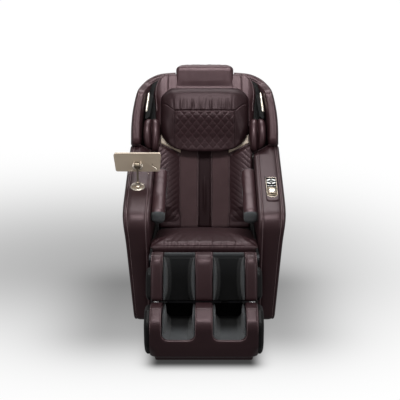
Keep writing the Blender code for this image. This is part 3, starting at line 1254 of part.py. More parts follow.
def make_foot():
    half = LEG_HALF_X
    outline = foot_outline()
    block = slab(outline, [(-half, 0.007), (-half + 0.003, 0.002), (-half + 0.010, 0.0),
                           (half - 0.010, 0.0), (half - 0.003, 0.002), (half, 0.007)])
    foot = add_piece("foot_unit", block, "foot", "leather")
    sole = rounded([(SOLE_FRONT_Y + 0.012, SOLE_Z, 0.008), (SOLE_REAR_Y, SOLE_Z, 0.008),
                    (SOLE_REAR_Y, FOOT_BOTTOM_Z + 0.008, 0.0),
        (SOLE_FRONT_Y, FOOT_BOTTOM_Z + 0.008, 0.0)], 3)
    fuse(foot, slab(sole, [(-half + 0.020, 0.004), (-half + 0.024, 0.0), (half - 0.024, 0.0),
                           (half - 0.020, 0.004)]))
    for deep, start, end, corner in ((FOOT_WELL_Z, FOOT_WELL_FRONT_Y, FOOT_WELL_REAR_Y, 0.018),
                                     (FOOT_LIP_Z, FOOT_FRONT_Y - 0.05, FOOT_WELL_FRONT_Y + 0.04, 0.030)):
        wells = []
        for side in (1, -1):
            well = rounded([(WELL_INNER_X, deep, corner), (WELL_OUTER_X, deep, corner),
                            (WELL_OUTER_X, FOOT_TOP_Z + 0.1, 0.0), (WELL_INNER_X, FOOT_TOP_Z + 0.1, 0.0)],
                4)
            wells.append(mirrored(loft([[(x, y, z) for x, z in well] for y in (start, end)]), side))
        cut(foot, several(*wells))
    sockets = [mirrored(bar((SLIDE_X, SLIDE_Y, CALF_BOTTOM - 0.092),
                            (SLIDE_X, SLIDE_Y, CALF_BOTTOM + 0.05), SLIDE_RADIUS + SEAT_GAP, 14),
        side) for side in (1, -1)]
    cut(foot, several(*sockets), "leg")
    for side in (1, -1):
        tube = bar((SLIDE_X, SLIDE_Y, CALF_BOTTOM - 0.092 + SEAT_GAP),
                   (SLIDE_X, SLIDE_Y, CALF_BOTTOM + EXTENSION + 0.057), SLIDE_RADIUS, 14)
        add_piece(sided("extension_tube", side), mirrored(tube, side), "foot", "bright_steel", "leg")
        inner = half + SEAT_GAP
        add_piece(sided("foot_cover", side), mirrored(dome(shrink(outline, 0.010), inner, COVER_OUTER_X,
                                                           0.16), side), "foot", "black_plastic")
        add_piece(sided("foot_liner", side), mirrored(foot_liner(), side), "foot", "grey_cloth")


def foot_liner():
    """A cloth lining round a foot well: a padded sole with swelling sides."""
    outer = WELL_OUTER_X - SOFT_GAP
    inner = WELL_INNER_X + SOFT_GAP
    low = FOOT_WELL_Z + SOFT_GAP
    rear = FOOT_WELL_REAR_Y - SOFT_GAP
    front = FOOT_WELL_FRONT_Y + SOFT_GAP
    rings = []
    for part in np.linspace(0.0, 1.0, 9):
        y = rear + part * (front - rear)
        top = FOOT_WELL_Z + 0.030 + 0.075 * min(1.0, 1.4 * math.sin(math.pi * part) + 0.15 * (1 - part))
        swell = LINER_SIDE * (0.4 + 0.8 * math.sin(math.pi * part) ** 0.6)
        bed = LINER_FLOOR
        points = [(inner, top - 0.006), (inner, low + 0.020), (inner + 0.020, low), (outer - 0.020, low),
                  (outer, low + 0.020), (outer, top - 0.006),
                  (outer - 0.004, top), (outer - 0.7 * swell, top - 0.003), (outer - swell, low + 0.034),
                      (outer - swell - 0.020, low + bed),
                  (inner + swell + 0.020, low + bed), (inner + swell, low + 0.034),
                      (inner + 0.7 * swell, top - 0.003), (inner + 0.004, top)]
        rings.append([(x, y, z) for x, z in points])
    return loft(rings)


def make_holder():
    """A tablet holder: a disc on the arm, a swivelling stem with a ball, and a tilting plate."""
    slope = math.radians(ARM_SLOPE)
    foot = Vector((HOLDER_X, HOLDER_Y, arm_top(HOLDER_Y)))
    normal = Vector((0.0, -math.sin(slope), math.cos(slope)))
    profile = [(HOLDER_DISC, SEAT_GAP), (HOLDER_DISC, 0.006), (HOLDER_DISC - 0.005, 0.010), (0.016, 0.013)]
    disc = add_piece("holder_base", turned(profile, foot, normal, 28), "seat", "gold")
    collar = foot + Vector((0.0, 0.0, 0.020))
    fuse(disc, bar(foot + Vector((0.0, 0.0, 0.009)), collar, 0.011, 20))
    start = collar.z + SEAT_GAP - foot.z
    profile = [(0.009, start), (0.009, start + 0.004), (STEM_RADIUS, start + 0.010),
               (STEM_RADIUS, HOLDER_STEM - 0.010)]
    stem = add_piece("holder_stem", turned(profile, (0, 0, 0), (0, 0, 1), 16), "holder_stem", "gold",
                     "holder_stem")
    edge = 0.003
    hub = [(HUB_RADIUS - edge, -HUB_HALF), (HUB_RADIUS, -HUB_HALF + edge), (HUB_RADIUS, HUB_HALF - edge),
           (HUB_RADIUS - edge, HUB_HALF)]
    fuse(stem, turned(hub, (0, 0, HOLDER_STEM), (1, 0, 0), 20), "holder_stem")
    cut(stem, bar((-0.03, 0.0, HOLDER_STEM), (0.03, 0.0, HOLDER_STEM), YOKE_PIN + RUN_GAP, 12), "holder_stem")
    back = HUB_RADIUS + 0.0035
    half = PLATE_WIDTH / 2
    low = -0.46 * PLATE_HEIGHT
    high = 0.54 * PLATE_HEIGHT
    face = rounded([(-half + 0.008, low, 0.010), (half - 0.010, low, 0.010), (half, high, 0.012),
                    (-half, high, 0.012)], 4)
    plate = add_piece("holder_plate", loft([[(x, y, z) for x, z in face] for y in (back,
            back + PLATE_THICK)]), "holder_plate", "gold", "holder_plate")
    lip = rounded([(back, high - 0.006, 0.0), (back + 0.016, high - 0.006, 0.001),
                   (back + 0.016, high - 0.003, 0.001), (back, high - 0.003, 0.0)], 2)
    fuse(plate, prism(lip, -half + 0.006, half - 0.006), "holder_plate")
    shelf = [(-0.050, back), (0.050, back), (0.062, back + 0.018), (-0.062, back + 0.018)]
    fuse(plate, upright(shelf, low + 0.001, low + 0.004), "holder_plate")
    ears = []
    for side in (1, -1):
        x0 = HUB_HALF + RUN_GAP
        ear = [(back + 0.001, -0.012)] + arc((0.0, 0.0), 0.010, 270, 90, 8) + [(back + 0.001, 0.012)]
        ears.append(mirrored(prism(ear, x0, x0 + YOKE_THICK), side))
    fuse(plate, several(*ears), "holder_plate")
    reach = HUB_HALF + RUN_GAP + YOKE_THICK / 2
    fuse(plate, bar((-reach, 0.0, 0.0), (reach, 0.0, 0.0), YOKE_PIN, 12), "holder_plate")


def make_controls():
    half = PANEL_WIDTH / 2
    long_half = PANEL_LENGTH / 2
    corner = 0.016
    outline = [(-half, -long_half, corner), (half, -long_half, corner), (half, long_half, corner),
               (-half, long_half, corner)]
    rings = [[(x, y, z) for x, y in shrink(rounded(outline, 5), inset)]
             for z, inset in ((0.0, 0.0), (PANEL_HEIGHT - 0.003, 0.0), (PANEL_HEIGHT, 0.004))]
    panel = add_piece("control_panel", loft(rings), "seat", "gold", "controls")
    for name, x, y, skew in key_places():
        pocket = [(px + x, py + y) for px, py in key_outline(skew, RUN_GAP)]
        cut(panel, upright(pocket, PANEL_HEIGHT - 0.005, PANEL_HEIGHT + 0.02), "controls")
        add_piece(name, upright(key_outline(skew), -0.005 + KEY_TRAVEL + 0.0005, 0.002), name,
                  "white_plastic", name)
    cut(panel, bar((0.0, DIAL_Y, PANEL_HEIGHT - 0.006), (0.0, DIAL_Y, PANEL_HEIGHT + 0.02),
                   0.006 + RUN_GAP, 16), "controls")
    profile = [(0.006, -0.0054), (0.006, RUN_GAP), (DIAL_RADIUS, RUN_GAP), (DIAL_RADIUS, 0.010),
               (DIAL_RADIUS - 0.003, 0.014), (DIAL_RADIUS - 0.008, 0.0165), (0.004, 0.0175)]
    dial = add_piece("dial", turned(profile, (0, 0, 0), (0, 0, 1), 24), "dial", "gold", "dial")
    grip = box((-0.0015, 0.006, 0.012), (0.0015, DIAL_RADIUS - 0.004, 0.03))
    cut(dial, grip, "dial")


def main():
    for thing in list(bpy.data.objects):
        bpy.data.objects.remove(thing)
    make_frames()
    make_base()
    make_control_box()
    make_seat()
    make_drives()
    make_seat_cushion()
    make_arms()
    make_back_shell()
    make_back_frame()
    make_back_pad()
    make_wings()
    make_wing_bars()
    make_shoulder_pads()
    make_neck_panel()
    make_pillow()
    make_flap()
    make_carriage()
    make_leg()
    make_foot()
    make_holder()
    make_controls()
    bpy.context.view_layer.update()


main()
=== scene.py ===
import math

import bmesh
import bpy
import numpy as np
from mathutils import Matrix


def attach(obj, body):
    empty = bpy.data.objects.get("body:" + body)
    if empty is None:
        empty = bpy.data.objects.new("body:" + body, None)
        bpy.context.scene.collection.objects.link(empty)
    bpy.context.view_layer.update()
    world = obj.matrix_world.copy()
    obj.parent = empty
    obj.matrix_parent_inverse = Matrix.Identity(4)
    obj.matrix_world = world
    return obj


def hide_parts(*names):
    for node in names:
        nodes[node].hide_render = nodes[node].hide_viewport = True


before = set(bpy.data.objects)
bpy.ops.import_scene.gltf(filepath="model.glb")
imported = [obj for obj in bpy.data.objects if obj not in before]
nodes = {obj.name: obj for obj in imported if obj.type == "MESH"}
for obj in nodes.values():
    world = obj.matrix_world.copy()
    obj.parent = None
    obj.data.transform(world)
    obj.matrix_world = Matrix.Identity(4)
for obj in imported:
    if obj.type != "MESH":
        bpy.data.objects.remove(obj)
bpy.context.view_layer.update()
scene = bpy.context.scene

# axes of the moving parts: depth and height of the shaft, lean from upright
back = dict(y=0.160, z=0.360, lean=math.radians(26.0))
leg = dict(y=-0.430, z=0.395, lean=math.radians(22.0))
armSlope = math.radians(20.0)
bothSides = ((1, "left"), (-1, "right"))


# world points of a part's own axes: y' forward to rear, z' up along the part
def placed(part, x, y, z):
    c = math.cos(part["lean"])
    s = math.sin(part["lean"])
    x, y, z = np.broadcast_arrays(x, y, z)
    return np.stack([x, part["y"] + y * c + z * s, part["z"] - y * s + z * c], axis=-1)


# the other way: y' and z' of world points
def partAxes(part, spots):
    c = math.cos(part["lean"])
    s = math.sin(part["lean"])
    y = spots[:, 1] - part["y"]
    z = spots[:, 2] - part["z"]
    return y * c - z * s, y * s + z * c


# 0 below a, 1 above b, smooth between them
def step(a, b, t):
    part = np.clip((t - a) / (b - a), 0.0, 1.0)
    return part * part * (3.0 - 2.0 * part)


# a narrow bell round a centre
def bell(t, centre, width):
    return np.exp(-((t - centre) / width) ** 2)


# a quarter circle: 0 and flat at 0, 1 and steep at 1
def quarter(t):
    return 1.0 - np.sqrt(1.0 - np.clip(t, 0.0, 1.0) ** 2)


# a power that keeps the sign
def signed(t, power):
    return np.sign(t) * np.abs(t) ** power


# slow irregular waves: a few sines with unrelated lengths
def ripple(t, length, seed):
    lengths = length * np.array([1.0, 0.618, 0.437, 0.291])
    phases = seed * np.array([1.3, 2.9, 4.1, 0.7])
    return sum(np.sin(2.0 * np.pi * t / size + phase) for size, phase in zip(lengths, phases)) / 2.4


# passes of a 1-2-1 average, ends kept
def smoothed(values, passes):
    for _ in range(passes):
        values[1:-1] = 0.25 * values[:-2] + 0.5 * values[1:-1] + 0.25 * values[2:]
    return values


# corners (a, b, radius) joined by lines and arcs
def rounded(corners, steps=10):
    spots = np.array([corner[:2] for corner in corners])
    ahead = np.roll(spots, -1, axis=0)
    behind = np.roll(spots, 1, axis=0)
    path = []
    for spot, before, after, corner in zip(spots, behind, ahead, corners):
        if corner[2] <= 0.0:
            path.append(spot[None])
            continue
        first = (before - spot) / np.linalg.norm(before - spot)
        second = (after - spot) / np.linalg.norm(after - spot)
        half = 0.5 * math.acos(float(np.clip(first @ second, -1.0, 1.0)))
        middle = spot + (first + second) / np.linalg.norm(first + second) * corner[2] / math.sin(half)
        start = spot + first * corner[2] / math.tan(half) - middle
        end = spot + second * corner[2] / math.tan(half) - middle
        turn = math.pi - 2.0 * half
        share = np.linspace(0.0, 1.0, steps)[:, None]
        path.append(middle + (np.sin((1.0 - share) * turn) * start + np.sin(share * turn) * end) / math.sin(turn))
    return np.concatenate(path)


# the same closed path with evenly spaced points
def even(path, count):
    closed = np.vstack([path, path[:1]])
    along = np.concatenate([[0.0], np.cumsum(np.linalg.norm(np.diff(closed, axis=0), axis=1))])
    want = np.linspace(0.0, along[-1], count, endpoint=False)
    return np.stack([np.interp(want, along, closed[:, k]) for k in range(path.shape[1])], axis=1)


# outward normals of a closed path in its plane
def normals(path):
    ahead = np.roll(path, -1, axis=0) - np.roll(path, 1, axis=0)
    side = np.stack([ahead[:, 1], -ahead[:, 0]], axis=1)
    side /= np.linalg.norm(side, axis=1)[:, None]
    after = np.roll(path, -1, axis=0)
    area = np.sum(path[:, 0] * after[:, 1] - after[:, 0] * path[:, 1])
    return side if area > 0 else -side


# a side view path at one x
def atX(x, path):
    return np.column_stack([np.full(len(path), x), path])


# a side view path at every x, each point moved out by its lift
def swept(xs, path, lift):
    spot = path[None] + normals(path)[None] * lift[..., None]
    return np.concatenate([np.broadcast_to(xs[:, None, None], (*lift.shape, 1)), spot], axis=-1)


# one value for each point, for a shader to read
def painted(piece, name, values):
    piece.data.attributes.new(name, "FLOAT", "POINT").data.foreach_set("value", values)


# mesh of a grid of points: columns join up, each end is closed on its middle
def skin(name, grid, slots=None, seam=None):
    rows, cols = grid.shape[:2]
    points = np.vstack([grid.reshape(-1, 3), grid[0].mean(axis=0)[None], grid[-1].mean(axis=0)[None]])
    index = np.arange(rows * cols).reshape(rows, cols)
    after = np.roll(index, -1, axis=1)
    quads = np.stack([index[:-1], after[:-1], after[1:], index[1:]], axis=-1).reshape(-1, 4)
    low = np.stack([after[0], index[0], np.full(cols, rows * cols)], axis=-1)
    high = np.stack([index[-1], after[-1], np.full(cols, rows * cols + 1)], axis=-1)
    mesh = bpy.data.meshes.new(name)
    mesh.from_pydata(points.tolist(), [], quads.tolist() + low.tolist() + high.tolist())
    piece = finishMesh(name, mesh)
    if slots is not None:
        ends = np.concatenate([np.full(cols, slots[0, 0]), np.full(cols, slots[-1, 0])])
        mesh.polygons.foreach_set("material_index", np.append(slots, ends).astype(np.int32))
    if seam is not None:
        painted(piece, "seam", np.append(np.clip(seam, 0.0, 1.0), [0.0, 0.0]))
    return piece


# outward, smooth shaded and in the scene
def finishMesh(name, mesh):
    form = bmesh.new()
    form.from_mesh(mesh)
    bmesh.ops.recalc_face_normals(form, faces=form.faces)
    form.to_mesh(mesh)
    form.free()
    mesh.shade_smooth()
    piece = bpy.data.objects.new(name, mesh)
    scene.collection.objects.link(piece)
    return piece


# a round cord swept along a path
def tube(name, path, radius, sides=8, loop=False):
    ahead = np.roll(path, -1, axis=0) - np.roll(path, 1, axis=0)
    if not loop:
        ahead[0] = path[1] - path[0]
        ahead[-1] = path[-1] - path[-2]
    ahead /= np.linalg.norm(ahead, axis=1)[:, None]
    axis = np.eye(3)[np.argmin(np.abs(ahead).max(axis=0))]
    side = np.cross(ahead, axis)
    side /= np.linalg.norm(side, axis=1)[:, None]
    up = np.cross(side, ahead)
    turn = np.linspace(0.0, 2.0 * np.pi, sides, endpoint=False)
    ring = np.cos(turn)[None, :, None] * side[:, None] + np.sin(turn)[None, :, None] * up[:, None]
    grid = path[:, None] + radius * ring
    if loop:
        grid = np.concatenate([grid, grid[:1]])
    return skin(name, grid)


# a piece's materials and body, and the CAD node it stands for, which is hidden
def settle(piece, materials, body, node=None):
    for material in materials:
        piece.data.materials.append(material)
    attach(piece, body)
    if node:
        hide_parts(node)
    return piece


# a copy of a CAD node with an even net of small faces, its edges softened
def softCopy(name, node, voxel, passes):
    piece = bpy.data.objects.new(name, nodes[node].data.copy())
    piece.data.materials.clear()
    scene.collection.objects.link(piece)
    form = bmesh.new()
    form.from_mesh(piece.data)
    bmesh.ops.remove_doubles(form, verts=form.verts, dist=1e-5)
    form.to_mesh(piece.data)
    form.free()
    remesh = piece.modifiers.new("net", "REMESH")
    remesh.mode = "VOXEL"
    remesh.voxel_size = voxel
    relax = piece.modifiers.new("relax", "SMOOTH")
    relax.factor = 0.5
    relax.iterations = passes
    done = bpy.data.meshes.new_from_object(piece.evaluated_get(bpy.context.evaluated_depsgraph_get()))
    bpy.data.objects.remove(piece)
    return finishMesh(name, done)


air = dict(quality=4, pressure=4.0, frames=20)


# cloth under pressure: a padded piece swells between its held points, and no point moves further than the cap
def swollen(piece, held, cap):
    group = piece.vertex_groups.new(name="held")
    group.add(np.flatnonzero(held).tolist(), 1.0, "REPLACE")
    cloth = piece.modifiers.new("cloth", "CLOTH")
    cloth.settings.quality = air["quality"]
    cloth.settings.use_pressure = True
    cloth.settings.uniform_pressure_force = air["pressure"]
    cloth.settings.vertex_group_mass = "held"
    cloth.settings.effector_weights.gravity = 0.0
    for moment in range(1, air["frames"] + 1):
        scene.frame_set(moment)
    before = vertexTable(piece.data)
    after = vertexTable(piece.evaluated_get(bpy.context.evaluated_depsgraph_get()).data)
    move = after - before
    far = np.linalg.norm(move, axis=1)
    move *= np.minimum(1.0, cap / np.maximum(far, 1e-9))[:, None]
    piece.modifiers.remove(cloth)
    piece.vertex_groups.remove(group)
    piece.data.vertices.foreach_set("co", (before + move).reshape(-1))
    piece.data.update()
    scene.frame_set(1)
    print("cloth", piece.name, "moved up to %.1f mm, mean %.1f" % (1000.0 * min(far.max(), cap), 1000.0 * far.mean()))
    return piece


# a path laid on a piece's surface, each point on the nearest spot
def laidOn(piece, path):
    return np.array([piece.closest_point_on_mesh(spot)[1] for spot in path.tolist()])


# a box with slightly rounded long edges, from its middle, half sizes and three directions
def bar(name, middle, halves, ways):
    a, b, c = (np.array(way) * size for way, size in zip(ways, halves))
    ring = np.array([(-1, -0.8), (-0.8, -1), (0.8, -1), (1, -0.8), (1, 0.8), (0.8, 1), (-0.8, 1), (-1, 0.8)])
    around = ring[:, :1] * b + ring[:, 1:] * c
    grid = np.stack([np.array(middle) + a * end + around * share for end, share in
                     ((-1.0, 0.8), (-0.97, 1.0), (0.97, 1.0), (1.0, 0.8))])
    return skin(name, grid)


# all points of a mesh, one row each
def vertexTable(mesh):
    table = np.empty(len(mesh.vertices) * 3)
    mesh.vertices.foreach_get("co", table)
    return table.reshape(-1, 3)


# the middles of a mesh's faces, one row each
def faceTable(mesh):
    table = np.empty(len(mesh.polygons) * 3)
    mesh.polygons.foreach_get("center", table)
    return table.reshape(-1, 3)


# one value in a shader's node tree; sums and products of values add Math nodes
class Shade:
    def __init__(self, tree, socket):
        self.tree = tree
        self.socket = socket

    def node(self, kind, settings, sockets, out=0):
        made = self.tree.nodes.new(kind)
        for key, value in settings.items():
            setattr(made, key, value)
        for key, value in sockets.items():
            if isinstance(value, Shade):
                self.tree.links.new(value.socket, made.inputs[key])
            else:
                made.inputs[key].default_value = value
        return Shade(self.tree, made.outputs[out])

    def maths(self, operation, first, second=0.0):
        return self.node("ShaderNodeMath", {"operation": operation}, {0: first, 1: second})

    def __add__(self, other):
        return self.maths("ADD", self, other)

    def __radd__(self, other):
        return self.maths("ADD", other, self)

    def __sub__(self, other):
        return self.maths("SUBTRACT", self, other)

    def __rsub__(self, other):
        return self.maths("SUBTRACT", other, self)

    def __mul__(self, other):
        return self.maths("MULTIPLY", self, other)

    def __rmul__(self, other):
        return self.maths("MULTIPLY", other, self)

    # a colour between two, by this value
    def between(self, low, high):
        low, high = (end if isinstance(end, Shade) else (*end, 1.0) for end in (low, high))
        return self.node("ShaderNodeMix", {"data_type": "RGBA"}, {0: self, 6: low, 7: high}, 2)

    # noise over this place
    def noise(self, scale, detail, **more):
        return self.node("ShaderNodeTexNoise", {}, {"Vector": self, "Scale": scale, "Detail": detail, **more})

    # a value that was painted on the mesh
    def reading(self, name):
        return self.node("ShaderNodeAttribute", {"attribute_name": name}, {}, 2)

    # this value as a height
    def bump(self, strength, distance):
        return self.node("ShaderNodeBump", {}, {"Strength": strength, "Distance": distance, "Height": self})

    def into(self, target):
        self.tree.links.new(self.socket, target)


# a principled material with its fixed values; place is the point on the object
def newMaterial(name, **constants):
    material = bpy.data.materials.new(name)
    material.use_nodes = True
    tree = material.node_tree
    shader = tree.nodes["Principled BSDF"]
    for key, value in constants.items():
        shader.inputs[key.replace("_", " ")].default_value = value
    place = Shade(tree, tree.nodes.new("ShaderNodeTexCoord").outputs["Object"])
    return material, shader.inputs, place


redTint = (1.0, 0.76, 0.80, 1.0)
# near black of the painted shade deep in the wells
paintedShadeBlack = (0.0016, 0.0016, 0.0018)


# leather: pebbled cells and fine creases, slow changes of tone, paler where a seam value is painted on (pale stitching
# with painted highlight), smoother where cells stand up
def leather(name, dark, light, rough, shine, grain=620.0, relief=0.20):
    material, inputs, place = newMaterial(name, Specular_IOR_Level=shine, Specular_Tint=redTint)
    cells = place.node("ShaderNodeTexVoronoi", {"feature": "SMOOTH_F1"},
                       {"Vector": place, "Scale": grain, "Smoothness": 0.4})
    crease = place.noise(210.0, 5.0, Distortion=0.7)
    patch = place.noise(6.0, 3.0)
    # the seam value lightens the tone: pale stitching and painted highlight
    tone = patch * 0.5 + crease * 0.30 - cells * 0.25 + place.reading("seam") * 0.65
    tone.between(dark, light).into(inputs["Base Color"])
    (rough - 0.05 + cells * 0.10 + patch * 0.08).into(inputs["Roughness"])
    (crease * 0.5 - cells).bump(relief, 0.0006).into(inputs["Normal"])
    return material


# cloth: two sets of crossed threads with a soft nap over them, painted shade making it near black deep in a hollow
def cloth(name, dark, light, rough, thread, sheen=0.12, relief=0.5):
    material, inputs, place = newMaterial(name, Specular_IOR_Level=0.12, Sheen_Weight=sheen, Sheen_Roughness=0.5)
    warp, weft = (place.node("ShaderNodeTexWave", {"bands_direction": way},
                             {"Vector": place, "Scale": thread, "Distortion": 0.6, "Detail": 1.0})
                  for way in ("X", "Z"))
    nap = place.noise(320.0, 4.0)
    patch = place.noise(14.0, 3.0)
    weave = warp * weft
    tone = patch * 0.5 + nap * 0.4 + weave * 0.25
    lit = tone.between(dark, light)
    # painted shade: the colour goes near black where the painted hollow value is high
    place.reading("painted_hollow_shade").between(lit, paintedShadeBlack).into(inputs["Base Color"])
    (rough + nap * 0.12).into(inputs["Roughness"])
    (weave + nap * 0.7).bump(relief, 0.0008).into(inputs["Normal"])
    return material


# metal: fine brushed lines along one direction and faint smudges
def metal(name, dark, light, rough, run):
    material, inputs, place = newMaterial(name, Metallic=1.0)
    lines = place.node("ShaderNodeMapping", {}, {"Vector": place, "Scale": run}).noise(260.0, 4.0)
    smudge = place.noise(18.0, 3.0)
    (lines * 0.5 + smudge * 0.5).between(dark, light).into(inputs["Base Color"])
    (rough + lines * 0.10 + smudge * 0.08).into(inputs["Roughness"])
    lines.bump(0.05, 0.0003).into(inputs["Normal"])
    return material


# moulded plastic, rubber or lacquer: spark-eroded texture and faint wear
def moulded(name, dark, light, rough, shine, grain, relief):
    material, inputs, place = newMaterial(name, Specular_IOR_Level=shine)
    spark = place.noise(grain, 3.0)
    patch = place.noise(9.0, 4.0)
    (patch * 0.7 + spark * 0.3).between(dark, light).into(inputs["Base Color"])
    (rough + spark * 0.08 + patch * 0.06).into(inputs["Roughness"])
    spark.bump(relief, 0.0004).into(inputs["Normal"])
    return material


hide = leather("leather_brown", dark=(0.0135, 0.0056, 0.0064), light=(0.041, 0.0180, 0.0208), rough=0.36, shine=0.42)
# lighter copy of the leather: painted highlight on pieces that face the light
hidePaintedHighlight = leather("leather_light", dark=(0.0215, 0.0092, 0.0105), light=(0.062, 0.0285, 0.0325), rough=0.33,
                    shine=0.55)
# darker copy of the leather: painted shade on the pillow
hidePaintedShade = leather("leather_dark", dark=(0.0102, 0.0043, 0.0049), light=(0.0315, 0.0138, 0.0160), rough=0.36,
                   shine=0.30)
hideGloss = leather("leather_gloss", dark=(0.008, 0.0034, 0.0038), light=(0.020, 0.0090, 0.0100), rough=0.34,
                    shine=0.12, grain=700.0, relief=0.12)
# pale leather for the piping cords: painted highlight along the seams
painted_highlight_piping = leather("leather_piping", dark=(0.085, 0.056, 0.059), light=(0.160, 0.115, 0.119), rough=0.36, shine=0.4,
                 grain=900.0, relief=0.15)
suede = cloth("suede", dark=(0.041, 0.0225, 0.0238), light=(0.079, 0.047, 0.0495), rough=0.82, thread=420.0,
              relief=0.35)
grey = cloth("grey_knit", dark=(0.036, 0.038, 0.040), light=(0.086, 0.091, 0.095), rough=0.78, thread=330.0)
# near black cloth: painted shade deep inside the foot wells
paintedShadeCloth = cloth("black_mesh_painted_shade", dark=(0.0030, 0.0030, 0.0034), light=(0.009, 0.009, 0.0095), rough=0.85,
                   thread=300.0, sheen=0.02)
gold = metal("champagne_gold", dark=(0.19, 0.155, 0.115), light=(0.31, 0.262, 0.20), rough=0.30,
             run=(1.0, 12.0, 12.0))
polished = metal("polished_gold", dark=(0.62, 0.55, 0.46), light=(0.80, 0.73, 0.64), rough=0.16, run=(6.0, 6.0, 1.0))
steel = metal("painted_steel", dark=(0.020, 0.020, 0.022), light=(0.045, 0.045, 0.048), rough=0.40,
              run=(1.0, 8.0, 8.0))
bright = metal("bright_steel", dark=(0.50, 0.50, 0.51), light=(0.68, 0.68, 0.70), rough=0.14, run=(10.0, 10.0, 1.0))
plastic = moulded("black_plastic", dark=(0.0042, 0.0040, 0.0042), light=(0.0085, 0.0080, 0.0082), rough=0.40,
                  shine=0.15, grain=900.0, relief=0.06)
glass = moulded("black_glass", dark=(0.0012, 0.0012, 0.0014), light=(0.0024, 0.0024, 0.0028), rough=0.50, shine=0.0,
                grain=60.0, relief=0.01)
rubber = moulded("rubber", dark=(0.006, 0.006, 0.006), light=(0.012, 0.012, 0.012), rough=0.66, shine=0.2,
                 grain=500.0, relief=0.25)
satin = moulded("satin_gold", dark=(0.46, 0.375, 0.285), light=(0.60, 0.50, 0.39), rough=0.33, shine=0.55,
                grain=700.0, relief=0.04)
white = moulded("white_keys", dark=(0.62, 0.62, 0.61), light=(0.78, 0.78, 0.77), rough=0.28, shine=0.5, grain=800.0,
                relief=0.03)

# CAD nodes that stay keep their shape and take these finishes
finishes = dict(leather=hide, grey_cloth=grey, black_plastic=plastic, gold=gold, steel=steel, bright_steel=bright,
                rubber=rubber, white_plastic=white)
# the CAD wing bars take black rubber: painted shade beside the slim bars
ownFinishes = dict(holder_base=polished, dial=polished, holder_plate=satin, control_panel=hide, neck_panel=satin,
                   left_wing_bar=rubber, right_wing_bar=rubber)
for node in nodes.values():
    for holder in node.material_slots:
        holder.material = finishes.get(holder.material.name.split(".")[0], plastic)
for name, finish in ownFinishes.items():
    nodes[name].material_slots[0].material = finish
print("materials done")


# piping, pale as a painted highlight, or a bead in another finish, along a line
def trim(name, line, radius, body, finish=painted_highlight_piping, sides=8, loop=False):
    settle(tube(name, line, radius, sides, loop), [finish], body)


arm = dict(inner=0.2585, outer=0.387, flare=0.077, waist=0.600, belly=0.007, frontY=-0.345, bottomZ=0.046,
           frontTop=0.573, roll=0.090, rear=0.445, notch=0.404, cornerX=0.268, notchX=0.338, tailY=0.500, heelY=0.420,
           count=280, seams=dict(inner=0.279, outer=0.3668), pipe=0.0021, sunk=0.0012)


# height of an arm's top at a depth
def armTop(y):
    return arm["frontTop"] + math.tan(armSlope) * (y - arm["frontY"])


# side view of an arm: flat bottom, arc about the recline shaft behind, sloping top, rolled front
def armPath():
    slope = math.tan(armSlope)
    offset = armTop(back["y"]) - back["z"]
    a = 1.0 + slope * slope
    reach = (-slope * offset + math.sqrt((slope * offset) ** 2 - a * (offset * offset - arm["rear"] ** 2))) / a
    start = math.atan2(offset + slope * reach, reach)
    steps = 12
    lower = rounded([(arm["frontY"] + 0.012, arm["bottomZ"], 0.030), (arm["heelY"], arm["bottomZ"] + 0.025, 0.05),
                     (arm["tailY"], back["z"] + 0.02, 0.10), (arm["tailY"] + 0.02, back["z"] + 0.25, 0.0),
                     (0.0, armTop(0.0), 0.0), (arm["frontY"], arm["frontTop"], arm["roll"])], steps)
    turn = np.linspace(math.radians(36.0), start, 40)
    rear = np.stack([back["y"] + arm["rear"] * np.cos(turn), back["z"] + arm["rear"] * np.sin(turn)], axis=1)
    # the arc takes the place of the two sharp corners after the three round ones
    return even(np.concatenate([lower[:3 * steps], rear, lower[3 * steps + 2:]]), arm["count"])


# the same path cut back to the notch arc under the shoulder pad
def notched(path):
    shaft = np.array([back["y"], back["z"]])
    away = path - shaft
    far = np.linalg.norm(away, axis=1)
    high = (away[:, 1] > 0.40 * far) & (away[:, 0] > 0.0)
    share = np.where(high, np.minimum(1.0, arm["notch"] / far), 1.0)
    return shaft + away * share[:, None]


# draws the outer side in below the waist, and out a little above it
def flared(x, z):
    share = np.maximum(0.0, (x - arm["inner"]) / (arm["outer"] - arm["inner"]))
    return x - (arm["flare"] * np.maximum(0.0, arm["waist"] - z) - arm["belly"] * step(0.42, 0.64, z)) * share


# a ring drawn in towards its middle and moved sideways
def shrunk(ring, share, shift):
    small = ring.mean(axis=0) + (ring - ring.mean(axis=0)) * share
    small[:, 0] = ring[:, 0] + shift
    return small


# rings of a path at (x, inset) stations, with (share, lift) rings shrunk to the middle on both faces
def layered(paths, stations, inFace, outFace, side):
    rows = []
    for x, inset in stations:
        path = paths(x)
        rows.append(atX(x, path - normals(path) * inset))
    inner = [shrunk(rows[0], share, -lift) for share, lift in inFace]
    outer = [shrunk(rows[-1], share, lift) for share, lift in outFace]
    grid = np.stack(inner[::-1] + rows + outer)
    grid[..., 0] = flared(grid[..., 0], grid[..., 2]) * side
    return grid


